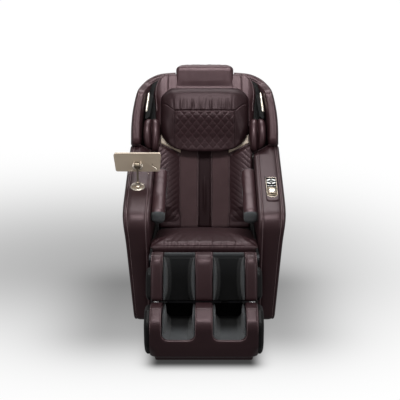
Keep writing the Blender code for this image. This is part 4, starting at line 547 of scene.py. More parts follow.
armStations = [(0.2585, 0.0150), (0.2590, 0.0105), (0.2603, 0.0066), (0.2625, 0.0036), (0.2655, 0.0014),
               (0.2695, 0.0001), (0.2735, -0.0004), (0.2765, 0.0003), (0.2780, 0.0017), (0.2790, 0.0030),
               (0.2800, 0.0017), (0.2815, 0.0), (0.2845, -0.0014), (0.290, -0.0026), (0.299, -0.0035),
               (0.310, -0.0040), (0.3225, -0.0042), (0.331, -0.0041), (0.335, -0.0040), (0.338, -0.0040),
               (0.341, -0.0039), (0.345, -0.0037), (0.353, -0.0028), (0.359, -0.0014), (0.3625, 0.0),
               (0.3645, 0.0014), (0.3658, 0.0036), (0.3665, 0.0080)]
panelStations = [(0.3674, 0.0100), (0.3679, 0.0046), (0.3688, 0.0016), (0.3704, -0.0004), (0.3730, -0.0014),
                 (0.3765, -0.0010), (0.3795, 0.0004), (0.3820, 0.0026), (0.3842, 0.0056), (0.3858, 0.0092),
                 (0.3868, 0.0132), (0.3874, 0.0180)]
panelFace = [(0.955, 0.0008), (0.90, 0.0016), (0.868, 0.0018), (0.858, 0.0010), (0.854, 0.0000), (0.850, 0.0010),
             (0.838, 0.0020), (0.78, 0.0028), (0.68, 0.0034), (0.55, 0.0038), (0.40, 0.0040), (0.22, 0.0041)]
armFace = [(0.94, 0.0003), (0.84, 0.0004), (0.66, 0.0004), (0.40, 0.0004)]
# strips under the moving wing and shoulder pad: corners as x and radius about the shaft, ends in degrees
gaskets = dict(wing=dict(corners=((0.337, 0.4440), (0.337, 0.4540), (0.384, 0.4540), (0.384, 0.4440)),
                         ends=(10.5, 40.0)),
               pad=dict(corners=((0.2592, 0.403), (0.2592, 0.4122), (0.268, 0.4122), (0.3375, 0.4500),
                                 (0.3375, 0.443), (0.268, 0.403)), ends=(11.5, 27.0)))
fullPath = armPath()
cutPath = notched(fullPath)


# 0 on the inner edge of the arm, 1 outside the slanted corner
def slant(x):
    return np.clip((x - arm["cornerX"]) / (arm["notchX"] - arm["cornerX"]), 0.0, 1.0)


# side view at one x: notched inside, full outside
def armRing(x):
    return cutPath + (fullPath - cutPath) * slant(x)


for side, word in bothSides:
    body = layered(armRing, armStations, armFace, armFace, side)
    settle(skin(word + "_arm_leather", body), [hide], "seat", word + "_arm")
    outer = layered(lambda x: fullPath, panelStations, armFace, panelFace, side)
    settle(skin(word + "_panel_leather", outer), [hide], "seat", word + "_side_panel")
    # piping in both seams, over the top and down the front, pale as a painted highlight
    for label, x in arm["seams"].items():
        path = armRing(x)
        line = atX(x, path - normals(path) * arm["sunk"])
        line[:, 0] = flared(line[:, 0], line[:, 2]) * side
        trim(word + "_piping_" + label, line, arm["pipe"], "seat", loop=True)
    for label, strip in gaskets.items():
        turn = np.radians(np.linspace(*strip["ends"], 25))[:, None]
        x, radius = np.array(strip["corners"]).T
        grid = np.stack(np.broadcast_arrays(x * side, back["y"] + radius * np.sin(turn),
                                            back["z"] + radius * np.cos(turn)), axis=-1)
        settle(skin(word + "_gasket_" + label, grid), [hide], "seat")
print("arms done")

pad = dict(inner=0.1915, outer=0.2582, front=-0.262, rear=0.125, drop=0.020, depth=0.077, count=190, hem=-0.0045,
           cap=0.006, edge=0.026, seam=0.0022, slack=0.0006)
padTop = [armTop(pad["front"]) - pad["drop"], armTop(pad["rear"]) - pad["drop"]]
padPath = even(rounded([(pad["front"], padTop[0] - pad["depth"], 0.024),
                        (pad["rear"], padTop[1] - pad["depth"], 0.020),
                        (pad["rear"], padTop[1], 0.030), (pad["front"], padTop[0], 0.040)]), pad["count"])
turn = np.linspace(0.02, math.pi - 0.02, 37)
padInsets = pad["edge"] * (1.0 - np.abs(np.sin(turn)) ** 0.80)
padXs = 0.5 * (pad["inner"] + pad["outer"]) - 0.5 * (pad["outer"] - pad["inner"]) * np.cos(turn)
under = padPath[:, 1] - (armTop(padPath[:, 0]) - pad["drop"])
sewn = bell(under, pad["hem"], 0.0030)
slack = pad["slack"] * ripple(padPath[:, 0], 0.16, 2.0) * step(-0.03, 0.0, under)
inset = padInsets[:, None] + pad["seam"] * sewn[None] - slack[None]
low = np.broadcast_to(under < pad["hem"], inset.shape)[:-1].astype(int)  # cloth below the seam, leather over it
held = (padXs > pad["outer"] - 0.004)[:, None] | (under < pad["hem"] - 0.050)[None] | (sewn > 0.75)[None]
for side, word in bothSides:
    piece = skin(word + "_forearm_cushion", swept(padXs * side, padPath, -inset), low)
    swollen(piece, np.append(held, [True, True]), pad["cap"])
    # the leather top takes the lighter copy of the leather: painted highlight
    settle(piece, [hidePaintedHighlight, grey], "seat", word + "_forearm_pad")
print("forearm pads done")

cushion = dict(half=0.2560, front=-0.376, rear=0.104, floor=0.3338, crest=0.466, back=0.388, crown=0.006, seam=0.441,
               cap=0.010, gather=0.0030, groove=0.0030, corner=0.014)
seatPath = even(rounded([(cushion["front"] + 0.004, cushion["floor"], cushion["corner"]),
                         (0.070, cushion["floor"], cushion["corner"]),
                         (cushion["rear"], cushion["back"] - 0.020, cushion["corner"]),
                         (cushion["rear"] - 0.006, cushion["back"], cushion["corner"]),
                         (cushion["front"] + 0.075, cushion["crest"], 0.08),
                         (cushion["front"], cushion["crest"] - 0.010, 0.032)]), 220)
across = np.sin(np.linspace(-math.pi / 2, math.pi / 2, 121)) * 0.9995
xs = across * cushion["half"]
edge = 0.022 * np.abs(across) ** 14 + 0.004 * np.abs(across) ** 4
top = step(cushion["floor"] + 0.05, cushion["floor"] + 0.10, seatPath[:, 1])
roll = top * bell(seatPath[:, 0], cushion["front"] + 0.012, 0.028)
gather = np.outer(ripple(xs, 0.036, 1.7) * step(0.205, 0.160, np.abs(xs)), roll)
groove = bell(seatPath[:, 1], cushion["seam"], 0.0028) * step(-0.30, -0.36, seatPath[:, 0])
lift = cushion["crown"] * np.outer(1.0 - across ** 2, top) + cushion["gather"] * gather
lift = lift - cushion["groove"] * groove[None] - edge[:, None]
grid = swept(xs, seatPath, lift)
resting = (seatPath[:, 1] < cushion["floor"] + 0.03) | (seatPath[:, 0] > 0.080) | (groove > 0.6)
held = (np.abs(across) > 0.985)[:, None] | resting[None]
seat = swollen(skin("seat_leather", grid), np.append(held, [True, True]), cushion["cap"])
settle(seat, [hide], "seat", "seat_cushion")
row = int(np.argmin(np.abs(seatPath[:, 1] - cushion["seam"]) + (seatPath[:, 0] > -0.3)))
trim("seat_piping", grid[4:-4, row] + np.array([0.0, -0.0012, 0.0]), 0.0017, "seat")
# dark webs beside the cushion and a shelf behind it close the gaps to the frame
webs = dict(place=(0.2514, -0.130, 0.385), half=(0.235, 0.042, 0.0060))
shelf = dict(place=(0.0, 0.105, 0.345), half=(0.250, 0.020, 0.007))
for side, word in bothSides:
    web = bar(word + "_seat_web", np.array(webs["place"]) * (side, 1, 1), webs["half"], np.eye(3)[[1, 2, 0]])
    settle(web, [rubber], "seat")
settle(bar("seat_shelf", shelf["place"], shelf["half"], np.eye(3)), [rubber], "seat")
print("seat done")

rest = dict(half=0.243, top=0.848, lip=-0.004, bottom=0.032, rear=-0.012, front=-0.058, bolster=0.046, bolsterX=0.131,
            stripIn=0.036, stripOut=0.126, stripTop=0.416, pitch=0.029, ribs=0.0022, upperSeam=0.200, painted_highlight=0.56,
            ridge=0.0040, channel=0.0050, strip=0.0022, seam=0.0040, pipe=0.004, crown=0.006, rim=0.020, roll=0.018,
            heights=(0.060, 0.085, 0.470, 0.500, 0.540, 0.570, 0.690, 0.735, 0.765, 0.795, 0.820, 0.838, 0.848),
            shares=(1.0, 1.051, 1.051, 1.0, 1.0, 1.100, 1.140, 1.140, 1.120, 1.080, 1.016, 0.925, 0.760))


# half the back's width at a height: wide between the arms and over the shoulders, round at the top
def backHalf(z):
    return rest["half"] * np.interp(z, rest["heights"], rest["shares"])


zs = np.concatenate([np.linspace(rest["lip"], 0.47, 230), np.linspace(0.474, rest["top"], 90)])
share = np.linspace(-1.0, 1.0, 261)
half = backHalf(zs)[:, None]
x = share[None] * half
z = np.broadcast_to(zs[:, None], x.shape)
wide = np.abs(share)[None] * rest["half"] + 0.0 * x
padTopZ = np.interp(wide, (0.125, 0.135, 0.235), (0.402, 0.393, 0.445))
low = step(padTopZ + 0.012, padTopZ - 0.016, z)
foot = np.minimum(1.0, 0.25 + 10.0 * np.maximum(0.0, z - rest["bottom"]))
rise = np.clip((wide - rest["bolsterX"]) / (rest["half"] - rest["bolsterX"]), 0.0, 1.0)
bolster = rest["bolster"] * foot * np.sin(0.5 * math.pi * np.minimum(1.0, 1.35 * rise))
phase = (z + 0.95 * wide) / rest["pitch"]
ribs = rest["ribs"] * (np.abs(np.sin(math.pi * phase)) ** 0.40 - 0.80) * step(0.131, 0.142, wide) * step(0.02, 0.05, z)
ridge = bell(wide, 0.0, 0.0075) * step(0.06, 0.13, z) * step(0.30, 0.22, z)
channel = rest["ridge"] * ridge - rest["channel"] * step(rest["stripIn"] - 0.002, rest["stripIn"] - 0.012, wide)
strip = rest["strip"] * step(rest["stripIn"], rest["stripIn"] + 0.008, wide)
strip = strip * step(rest["stripOut"], rest["stripOut"] - 0.008, wide)
seams = rest["seam"] * (bell(wide, rest["stripIn"], 0.0022) + bell(wide, rest["stripOut"] + 0.001, 0.0026))
upper = 1.0 - low
above = upper * step(0.53, 0.58, z)
pipeLine = upper * bell(np.abs(x), rest["upperSeam"], 0.0024) * step(0.60, 0.64, z) * rest["pipe"]
swell = rest["crown"] * upper * np.cos(0.5 * math.pi * np.clip(wide / rest["half"], 0.0, 1.0))
swell = swell - 0.012 * above * np.clip((np.abs(x) - 0.232) / 0.036, 0.0, 1.0) ** 2
swell = swell - 0.016 * above * step(0.76, 0.66, z) * np.clip((np.abs(x) - 0.222) / 0.050, 0.0, 1.0) ** 1.5
y = rest["front"] - low * (bolster + ribs + channel + strip - seams) - swell + pipeLine
# the rim, the hem and the crest turn to the rear
y = y + rest["rim"] * quarter(1.0 - (half - np.abs(x)) / 0.016)
y = y + rest["roll"] * quarter(1.0 - (z - rest["lip"]) / 0.020)
y = y + rest["roll"] * quarter(1.0 - (rest["top"] - z) / 0.018)
frontGrid = placed(back, x, y, z)
rearX = np.linspace(1.0, -1.0, 13)[None] * half
rearY = rest["rear"] - 0.0225 * step(0.722, 0.730, zs)[:, None]
rearGrid = placed(back, rearX, rearY, np.maximum(zs, rest["bottom"])[:, None])
kind = np.zeros(x.shape, int)
kind[(wide > rest["stripIn"]) & (wide < rest["stripOut"]) & (z < rest["stripTop"]) & (z > 0.004)] = 1
kind[(wide <= rest["stripIn"]) & (z < rest["stripTop"])] = 2
# above this height the back takes the lighter copy of the leather: painted highlight
kind[z > rest["painted_highlight"]] = 3
slots = np.concatenate([kind, np.zeros(rearX.shape, int)], axis=1)[:-1]
piece = skin("back_leather", np.concatenate([frontGrid, rearGrid], axis=1), slots)
settle(piece, [hide, suede, hideGloss, hidePaintedHighlight], "backrest", "back_pad")
# piping round the upper edge of the back, and beside the middle channel, pale as a painted highlight
zEdge = np.concatenate([np.linspace(0.640, 0.790, 40), np.linspace(0.793, rest["top"] - 0.006, 40)])
zLine = np.linspace(0.012, rest["stripTop"] - 0.004, 60)
for side, word in bothSides:
    line = laidOn(piece, placed(back, side * (backHalf(zEdge) - 0.003), rest["front"] + 0.004, zEdge))
    trim(word + "_back_piping", line, 0.0030, "backrest")
    line = laidOn(piece, placed(back, side * rest["stripIn"], rest["front"], zLine))
    trim(word + "_channel_piping", line, 0.0013, "backrest")
# gold strips under the pillow's lower corners
collar = dict(x=(0.128, 0.233), low=(0.404, 0.456), high=(0.440, 0.470), front=-0.0645, rear=-0.056)
xs = np.linspace(*collar["x"], 16)
low = np.interp(xs, collar["x"], collar["low"])
high = np.interp(xs, collar["x"], collar["high"])
depth = np.array([collar["front"], collar["front"], collar["rear"], collar["rear"]])
for side, word in bothSides:
    grid = placed(back, side * xs[:, None], depth, np.stack([low, high, high, low], axis=1))
    settle(skin(word + "_collar_strip", grid), [satin], "backrest")
print("back done")

# bow: the pillow's front in side view, as shares of its height and depths
head = dict(half=0.236, bottom=0.402, top=0.754, back=-0.0656, kick=0.036, band=0.613, quilt=0.160, wide=0.0430,
            tall=0.0495, relief=0.0036, hinge=0.732, clear=0.95, painted_highlight=2.4, bandSeam=0.0048, sideSeam=0.0042,
            pleat=0.0020, slack=0.0008,
            bow=((0.0, -0.1030), (0.010, -0.1075), (0.03, -0.1095), (0.06, -0.1105), (0.1, -0.1118), (0.2, -0.1170),
                 (0.35, -0.1335), (0.5, -0.1485), (0.62, -0.1525), (0.8, -0.1500), (0.88, -0.1455), (0.94, -0.1350),
                 (0.975, -0.1190), (1.0, -0.0910)))
up = np.linspace(0.0, 1.0, 190)
up = 0.5 * (up + 0.5 - 0.5 * np.cos(math.pi * up))
share = np.sin(np.linspace(-math.pi / 2, math.pi / 2, 241))
share = 0.5 * (share + np.linspace(-1.0, 1.0, 241))
zs = head["bottom"] + up * (head["top"] - head["bottom"])
lowPart = 1.0 - 0.47 * np.maximum(0.0, 1.0 - up / 0.42) ** 2.5
lowPart *= 1.0 - 0.32 * np.maximum(0.0, 1.0 - up / 0.060) ** 2
topPart = 1.0 - 0.24 * np.maximum(0.0, (up - 0.80) / 0.20) ** 2.4
half = (head["half"] * lowPart * topPart)[:, None]
x = share[None] * half
z = np.broadcast_to(zs[:, None], x.shape)
rows = np.broadcast_to(up[:, None], x.shape)
puff = np.maximum(0.0, 1.0 - np.abs(2.0 * rows - 1.0) ** 5.0) ** 0.6
crown = np.maximum(0.0, 1.0 - np.abs(share[None]) ** 5.0) ** 0.6
# the back of the pillow kicks forward at the bottom, and above the hinge to clear the flap
rearY = head["back"] - head["kick"] * np.maximum(0.0, 1.0 - rows / 0.18)
rearY = rearY - head["clear"] * np.maximum(0.0, z - head["hinge"])
bow = smoothed(np.interp(up, *np.array(head["bow"]).T), 12)
y = rearY + (bow[:, None] - rearY) * (0.10 + 0.90 * crown)
wide = np.abs(x)
bandZ = head["band"] + 0.046 * step(head["quilt"] - 0.006, 0.222, wide) ** 0.8
aboveHem = step(0.404, 0.414, z)
inBand = step(0.230, 0.205, wide)
inQuilt = step(head["quilt"], head["quilt"] - 0.004, wide) * step(bandZ, bandZ - 0.004, z) * aboveHem
first = x / head["wide"] + (z - head["band"]) / head["tall"]
second = x / head["wide"] - (z - head["band"]) / head["tall"]
lines = np.minimum(np.abs(np.sin(math.pi * first)), np.abs(np.sin(math.pi * second)))
quilt = head["relief"] * (lines ** 0.38 - 0.60) * inQuilt * (0.45 + 0.55 * step(0.44, 0.52, z))
# paler quilt lines and a pale line under the band seam: partly pale stitching, partly painted highlight; the upper rows
# are paler as painted highlight
sewn = head["painted_highlight"] * bell(lines, 0.0, 0.105) * inQuilt * (0.35 + 0.65 * step(0.43, 0.60, z))
sewn = sewn + bell(z, bandZ - 0.004, 0.0022) * inBand
bandSeam = head["bandSeam"] * bell(z, bandZ, 0.0034) * inBand
sideSeam = head["sideSeam"] * bell(wide, head["quilt"], 0.0030) * step(bandZ + 0.002, bandZ - 0.006, z) * aboveHem
pleats = head["pleat"] * ripple(x, 0.060, 3.1) * bell(z, bandZ + 0.026, 0.034)
pleats = pleats * step(bandZ, bandZ + 0.008, z) * step(0.19, 0.14, wide)
slack = head["slack"] * ripple(x + 0.6 * z, 0.16, 5.2) * step(head["quilt"], head["quilt"] + 0.02, wide) * puff
y = y - quilt + bandSeam + sideSeam - pleats - slack
frontGrid = placed(back, x, y, z)
rearX = np.linspace(0.94, -0.94, 15)[None] * half
rearGrid = placed(back, rearX, rearY[:, :15], zs[:, None])
sewn = np.concatenate([sewn, np.zeros(rearX.shape)], axis=1)
piece = skin("pillow_leather", np.concatenate([frontGrid, rearGrid], axis=1), None, sewn)
# the pillow takes the darker copy of the leather: painted shade
settle(piece, [hidePaintedShade], "pillow", "head_pillow")
print("pillow done")

flap = dict(half=0.155, front=-0.0588, thick=0.022, lip=0.0155, thin=0.0050, inner=0.8488, top=0.897, low=0.738,
            slim=0.774, full=0.858, rear=0.104, hem=0.790, corner=0.034, edge=0.016, crown=0.0030, slack=0.0008)
thinY = flap["front"] - flap["thin"]
lipY = flap["front"] - flap["lip"]
tailY = flap["rear"] + flap["thick"]
flapPath = even(rounded([(thinY, flap["low"], 0.002), (flap["front"], flap["low"], 0.002),
                         (flap["front"], flap["inner"], 0.004), (flap["rear"], flap["inner"], 0.004),
                         (flap["rear"], flap["hem"], 0.006), (tailY, flap["hem"], 0.010), (tailY, flap["top"], 0.045),
                         (lipY, flap["top"], 0.030), (lipY, flap["full"], 0.036), (thinY, flap["slim"], 0.040)]), 240)
across = np.sin(np.linspace(-math.pi / 2, math.pi / 2, 71))
# 1 on the outer side of the flap, 0 on the side that lies on the back
outer = np.maximum(step(flap["inner"] + 0.01, flap["inner"] + 0.03, flapPath[:, 1]),
                   np.maximum(step(flap["front"] - 0.004, flap["front"] - 0.009, flapPath[:, 0]),
                              step(flap["rear"] + 0.008, flap["rear"] + 0.016, flapPath[:, 0])))
xs = across * flap["half"]
pull = flap["edge"] * quarter((np.abs(across) - 0.87) / 0.13)
lift = np.outer(flap["crown"] * (1.0 - across ** 4), outer) - np.outer(pull, 0.1 + 0.9 * outer)
lift += flap["slack"] * np.outer(ripple(xs, 0.12, 4.0), outer)
x, y, z = np.moveaxis(swept(xs, flapPath, lift), -1, 0)
over = np.clip((z - (flap["top"] - flap["corner"])) / flap["corner"], 0.0, 1.0)
narrow = 1.0 - flap["corner"] / flap["half"] * quarter(math.sqrt(0.96) * over)
# the flap takes the lighter copy of the leather: painted highlight
settle(skin("flap_leather", placed(back, x * narrow, y, z)), [hidePaintedHighlight], "backrest", "head_flap")
print("flap done")

# path: the wing's middle line as x and height, from the arm up to the crown
wing = dict(path=((0.362, 0.470), (0.3625, 0.530), (0.3590, 0.600), (0.3490, 0.668), (0.3360, 0.729), (0.3265, 0.764),
                  (0.302, 0.807), (0.242, 0.838), (0.158, 0.846)),
            thick=0.066, front=-0.135, tip=-0.030, rear=0.112, radius=0.456, flutes=4, relief=0.0056, rise=0.0008)
path = np.array(wing["path"])
part = np.linspace(0.0, 1.0, 97)
mark = np.linspace(0.0, 1.0, len(path))
line = smoothed(np.stack([np.interp(part, mark, path[:, k]) for k in range(2)], axis=1), 24)
ahead = np.gradient(line, axis=0)
ahead /= np.linalg.norm(ahead, axis=1)[:, None]
out = np.stack([ahead[:, 1], -ahead[:, 0]], axis=1)
thick = wing["thick"] * (1.0 - 0.30 * part ** 2)
wingFront = wing["front"] + step(0.44, 0.78, part) * (wing["tip"] - wing["front"])
wingRear = wing["rear"] * (1.0 - 0.40 * np.maximum(0.0, part - 0.5) / 0.5)
turn = (np.arange(120) + 0.5) * 2.0 * math.pi / 120
acrossWing = 0.5 * signed(np.sin(turn), 0.5)
sweep = -signed(np.cos(turn), 0.8)
yWing = 0.5 * (wing["front"] + wing["rear"]) + 0.5 * (wing["rear"] - wing["front"]) * sweep
flutes = np.abs(np.cos(math.pi * wing["flutes"] * acrossWing)) ** 0.45 - 0.6
flutes = wing["relief"] * flutes * step(0.15, 0.65, -sweep)
calm = step(0.0, 0.06, part) * step(1.0, 0.85, part)
# the lowest ring follows the arm's arc, and every ring stays above it
hem = np.column_stack([path[0, 0] + acrossWing * wing["thick"], yWing, np.sqrt(wing["radius"] ** 2 - yWing ** 2)])
reach = acrossWing * thick[:, None]
ringX = line[:, :1] + out[:, :1] * reach
ringY = wingFront[:, None] + 0.5 * (1.0 + sweep) * (wingRear - wingFront)[:, None] - flutes * calm[:, None]
lowest = hem[:, 2] + wing["rise"] * np.arange(1, len(part) + 1)[:, None]
ringZ = np.maximum(line[:, 1:] + out[:, 1:] * reach, lowest)
local = np.concatenate([hem[None], np.stack([ringX, ringY, ringZ], axis=-1)])
# black wall in the recess between the wing and the back: painted shade
painted_shade_recess = dict(low=0.418, high=0.832, inner=0.195, front=-0.030, rear=-0.014, clear=0.008, arm=0.459, foot=0.4105)
zs = np.linspace(painted_shade_recess["low"], painted_shade_recess["high"], 60)
outX = np.interp(zs, line[:, 1], line[:, 0]) - painted_shade_recess["clear"]
overArm = np.clip((zs - painted_shade_recess["foot"]) / (arm["rear"] - arm["notch"]), 0.0, 1.0)
overArm = arm["cornerX"] + (arm["notchX"] - arm["cornerX"]) * overArm
outX = np.where(zs > painted_shade_recess["arm"], outX, np.minimum(outX, overArm))
inX = np.full(len(zs), painted_shade_recess["inner"])
wallX = np.stack([inX, outX, outX, inX], axis=1)
wallY = np.array([painted_shade_recess["front"], painted_shade_recess["front"], painted_shade_recess["rear"], painted_shade_recess["rear"]])
# slim gold bar in front of the recess, with a waist for its clasp
bars = dict(top=(0.2985, 0.725), bottom=(0.3125, 0.617), front=-0.1045, rear=-0.096, half=0.0084)
part = np.linspace(0.0, 1.0, 40)
barX, barZ = (np.interp(part, (0.0, 1.0), ends)[:, None] for ends in zip(bars["bottom"], bars["top"]))
wide = bars["half"] * np.sqrt(np.clip(1.0 - (2.0 * part - 1.0) ** 8, 0.02, 1.0))
wide = wide * (1.0 - 0.18 * part) * (1.0 - 0.12 * bell(part, 0.17, 0.012))
turn = np.arange(20) * 2.0 * math.pi / 20
barX = barX + wide[:, None] * np.cos(turn)[None]
barY = 0.5 * (bars["front"] + bars["rear"]) + 0.5 * (bars["rear"] - bars["front"]) * np.sin(turn)[None]
for side, word in bothSides:
    grid = placed(back, side * local[..., 0], local[..., 1], local[..., 2])
    # the wings take the lighter copy of the leather: painted highlight
    settle(skin(word + "_wing_leather", grid), [hidePaintedHighlight], "backrest", word + "_wing")
    wall = skin(word + "_recess", placed(back, side * wallX, wallY, zs[:, None]))
    settle(wall, [rubber], "backrest")
    slim = skin(word + "_slim_bar", placed(back, side * barX, barY, barZ))
    settle(slim, [polished], "backrest")
print("wings done")

lobes = dict(x=0.2815, half=0.0425, root=(0.2465, 0.3095), reach=0.414, top=0.578, front=-0.152, rear=-0.012, cap=0.004,
             clear=0.009)
part = np.concatenate([[0.0], 0.5 - 0.5 * np.cos(np.linspace(0.08, math.pi - 0.08, 79)), [1.0]])[:, None]
swell = np.sin(math.pi * (0.02 + 0.96 * part)) ** 0.34
turn = np.linspace(0.0, math.pi, 97)[None]
lobe = np.maximum(0.0, 1.0 - np.abs(2.0 * np.abs(np.cos(turn)) - 1.0) ** 2.6) ** 0.5
x = lobes["x"] - lobes["half"] * (0.60 + 0.40 * swell) * np.cos(turn)
y = lobes["front"] * (0.52 + 0.48 * swell) * (0.70 + 0.30 * lobe)
rearX = np.broadcast_to(np.linspace(lobes["root"][1], lobes["root"][0], 9)[None], (len(part), 9))
x = np.concatenate([x, rearX], axis=1)
y = np.concatenate([y, np.full(rearX.shape, lobes["rear"])], axis=1)
# the bottom clears the arm as the back reclines
reach = np.maximum(lobes["reach"], arm["notch"] + (arm["rear"] - arm["notch"]) * slant(x) + lobes["clear"])
bottom = np.sqrt(reach ** 2 - y * y)
z = bottom + part * (lobes["top"] - bottom)
held = np.append((y > -0.050) | (np.abs(x - lobes["x"]) < 0.0012), [True, True])
for side, word in bothSides:
    piece = swollen(skin(word + "_shoulder_leather", placed(back, side * x, y, z)), held, lobes["cap"])
    # the shoulder pads take the lighter copy of the leather: painted highlight
    settle(piece, [hidePaintedHighlight], "backrest", word + "_shoulder_pad")
print("shoulders done")

# stations: height, half width and depth of the rear
shell = dict(stations=((0.034, 0.241, 0.084), (0.120, 0.241, 0.106), (0.410, 0.241, 0.129), (0.470, 0.3235, 0.129),
                       (0.530, 0.3205, 0.129), (0.600, 0.313, 0.129), (0.668, 0.302, 0.122), (0.727, 0.288, 0.114),
                       (0.760, 0.262, 0.108), (0.786, 0.200, 0.104), (0.800, 0.146, 0.102), (0.830, 0.146, 0.092),
                       (0.844, 0.146, 0.070)), front=-0.0117, seamX=0.175, seamZ=(0.415, 0.620), groove=0.0030)
table = np.array(shell["stations"])
zs = np.concatenate([np.linspace(table[0, 0], 0.80, 150), np.linspace(0.803, table[-1, 0], 14)])
half = np.interp(zs, table[:, 0], table[:, 1])[:, None]
rear = np.interp(zs, table[:, 0], table[:, 2])[:, None]
turn = np.linspace(0.0, math.pi, 121)[None]
x = half * signed(np.cos(turn), 0.45)
y = shell["front"] + (rear - shell["front"]) * np.abs(np.sin(turn)) ** 0.5
z = np.broadcast_to(zs[:, None], x.shape)
seamLine = bell(np.abs(x), shell["seamX"] - 0.05 * step(0.5, 0.78, z), 0.003)
seamLine = seamLine + sum(bell(z, level, 0.003) for level in shell["seamZ"])
y = y - shell["groove"] * np.minimum(1.0, seamLine) * step(0.5, 0.8, np.sin(turn))
frontX = np.linspace(-0.96, 0.96, 15)[None] * half
x = np.concatenate([x, frontX], axis=1)
y = np.concatenate([y, np.full(frontX.shape, shell["front"])], axis=1)
settle(skin("back_cover_leather", placed(back, x, y, zs[:, None])), [hide], "backrest", "back_cover")
print("cover done")

# calf and foot units: leather with soft edges, wells lined in grey, their backs near black with painted shade
rests = dict(half=0.243, wellIn=0.039, wellOut=0.188, front=-0.137, top=0.035, bottom=-0.193, bend=0.062, net=0.0035,
             liningNet=0.0028, column=0.2155, columnHalf=0.0275, bulge=0.0055, belly=0.009, pipe=0.0016)


# which faces lie between the walls of a well
def inWell(middle):
    wide = np.abs(middle[:, 0])
    return (wide > rests["wellIn"] + 0.003) & (wide < rests["wellOut"] - 0.003)


calf = softCopy("calf_leather", "calf_unit", rests["net"], 36)
spots = vertexTable(calf.data)
deepness, along = partAxes(leg, spots)
wide = np.abs(spots[:, 0])
bulge = np.where(wide < 0.10, wide / rests["wellIn"], (wide - rests["column"]) / rests["columnHalf"])
bulge = np.clip(1.0 - bulge ** 2, 0.0, 1.0)
belly = np.sin(math.pi * np.clip((along - rests["bottom"]) / (rests["top"] - rests["bottom"]), 0.0, 1.0))
bulge = (rests["bulge"] * bulge + rests["belly"] * belly) * step(-0.095, -0.125, deepness)
spots[:, 1] -= bulge * math.cos(leg["lean"])
spots[:, 2] += bulge * math.sin(leg["lean"])
calf.data.vertices.foreach_set("co", spots.reshape(-1))
# painted shade on the grey faces in the calf wells, paler only in a band at their top
painted(calf, "painted_hollow_shade", 0.85 * step(0.038, 0.012, along))
middle = faceTable(calf.data)
inside = inWell(middle) & (partAxes(leg, middle)[0] < 0.022)
calf.data.polygons.foreach_set("material_index", inside.astype(np.int32))
settle(calf, [hide, grey], "leg", "calf_unit")
foot = softCopy("foot_leather", "foot_unit", rests["net"], 30)
# the front stands upright down to its lower edge
nosePlane = -0.7825
spots = vertexTable(foot.data)
share = 0.85 * step(0.042, 0.066, spots[:, 2]) * step(0.135, 0.112, spots[:, 2]) * step(-0.690, -0.735, spots[:, 1])
share *= step(0.243, 0.205, np.abs(spots[:, 0]))
spots[:, 1] += (nosePlane - spots[:, 1]) * share
foot.data.vertices.foreach_set("co", spots.reshape(-1))
# faces deep inside the foot wells take the near black cloth: painted shade
middle = faceTable(foot.data)
inside = inWell(middle) & (middle[:, 1] > -0.56) & (middle[:, 2] > 0.10)
foot.data.polygons.foreach_set("material_index", inside.astype(np.int32))
settle(foot, [hide, paintedShadeCloth], "foot", "foot_unit")
# linings: painted shade darkens them deep in the wells, less towards the mouth and the front of the sole
for word in ("left", "right"):
    for unit, body in (("calf", "leg"), ("foot", "foot")):
        liner = word + "_" + unit + "_liner"
        piece = softCopy(word + "_" + unit + "_lining", liner, rests["liningNet"], 5)
        spots = vertexTable(piece.data)
        if unit == "calf":
            deepness, along = partAxes(leg, spots)
            lining_shade = np.maximum(step(-0.134, -0.072, deepness), 0.72 * step(-0.050, 0.0, along))
            lining_shade = lining_shade * (0.90 + 0.10 * step(0.0, -0.10, along))
        else:
            lining_shade = step(-0.690, -0.560, spots[:, 1]) * step(0.200, 0.150, spots[:, 2])
            lining_shade = np.maximum(lining_shade, step(-0.56, -0.52, spots[:, 1]))
        painted(piece, "painted_hollow_shade", np.clip(lining_shade, 0.0, 1.0))
        settle(piece, [grey], body, liner)
# piping down both edges of every column and round the lips of the foot wells, pale as a painted highlight
column = rounded([(rests["front"], rests["bottom"] + 0.006, 0.0), (rests["front"], rests["top"], rests["bend"]),
                  (rests["front"] + 0.10, rests["top"], 0.0)], 24)
for k, x in enumerate((rests["wellIn"] - 0.001, rests["wellOut"] + 0.001, rests["half"] - 0.003)):
    for side, word in bothSides:
        line = laidOn(calf, placed(leg, side * x, column[:, 0], column[:, 1]))
        trim("%s_calf_piping_%d" % (word, k), line, rests["pipe"], "leg")
lip = dict(y=-0.785, z=0.172, radius=0.030)
nose = rounded([(-0.640, 0.252, 0.0), (-0.711, 0.268, 0.02), (-0.786, 0.218, 0.055), (lip["y"], lip["z"], 0.0)], 14)
inner = rests["wellIn"] + 0.001
outer = rests["wellOut"] - 0.001
turn = np.linspace(0.0, math.pi / 2, 12)[1:]
first = np.column_stack([inner + lip["radius"] * (1.0 - np.cos(turn)), np.full(len(turn), lip["y"]),
                         lip["z"] - lip["radius"] * np.sin(turn)])
last = first[::-1] * np.array([-1.0, 1.0, 1.0]) + np.array([inner + outer, 0.0, 0.0])
flat = np.linspace((inner + 0.034, lip["y"], lip["z"] - lip["radius"]),
                   (outer - 0.034, lip["y"], lip["z"] - lip["radius"]), 14)
mouth = np.concatenate([atX(inner, nose), first, flat, last, atX(outer, nose)[::-1]])
for side, word in bothSides:
    trim(word + "_foot_piping", laidOn(foot, mouth * np.array([side, 1.0, 1.0])), rests["pipe"], "foot")
    trim(word + "_foot_edge", laidOn(foot, atX(side * (rests["half"] - 0.003), nose)), 0.0014, "foot")
print("leg rest done")

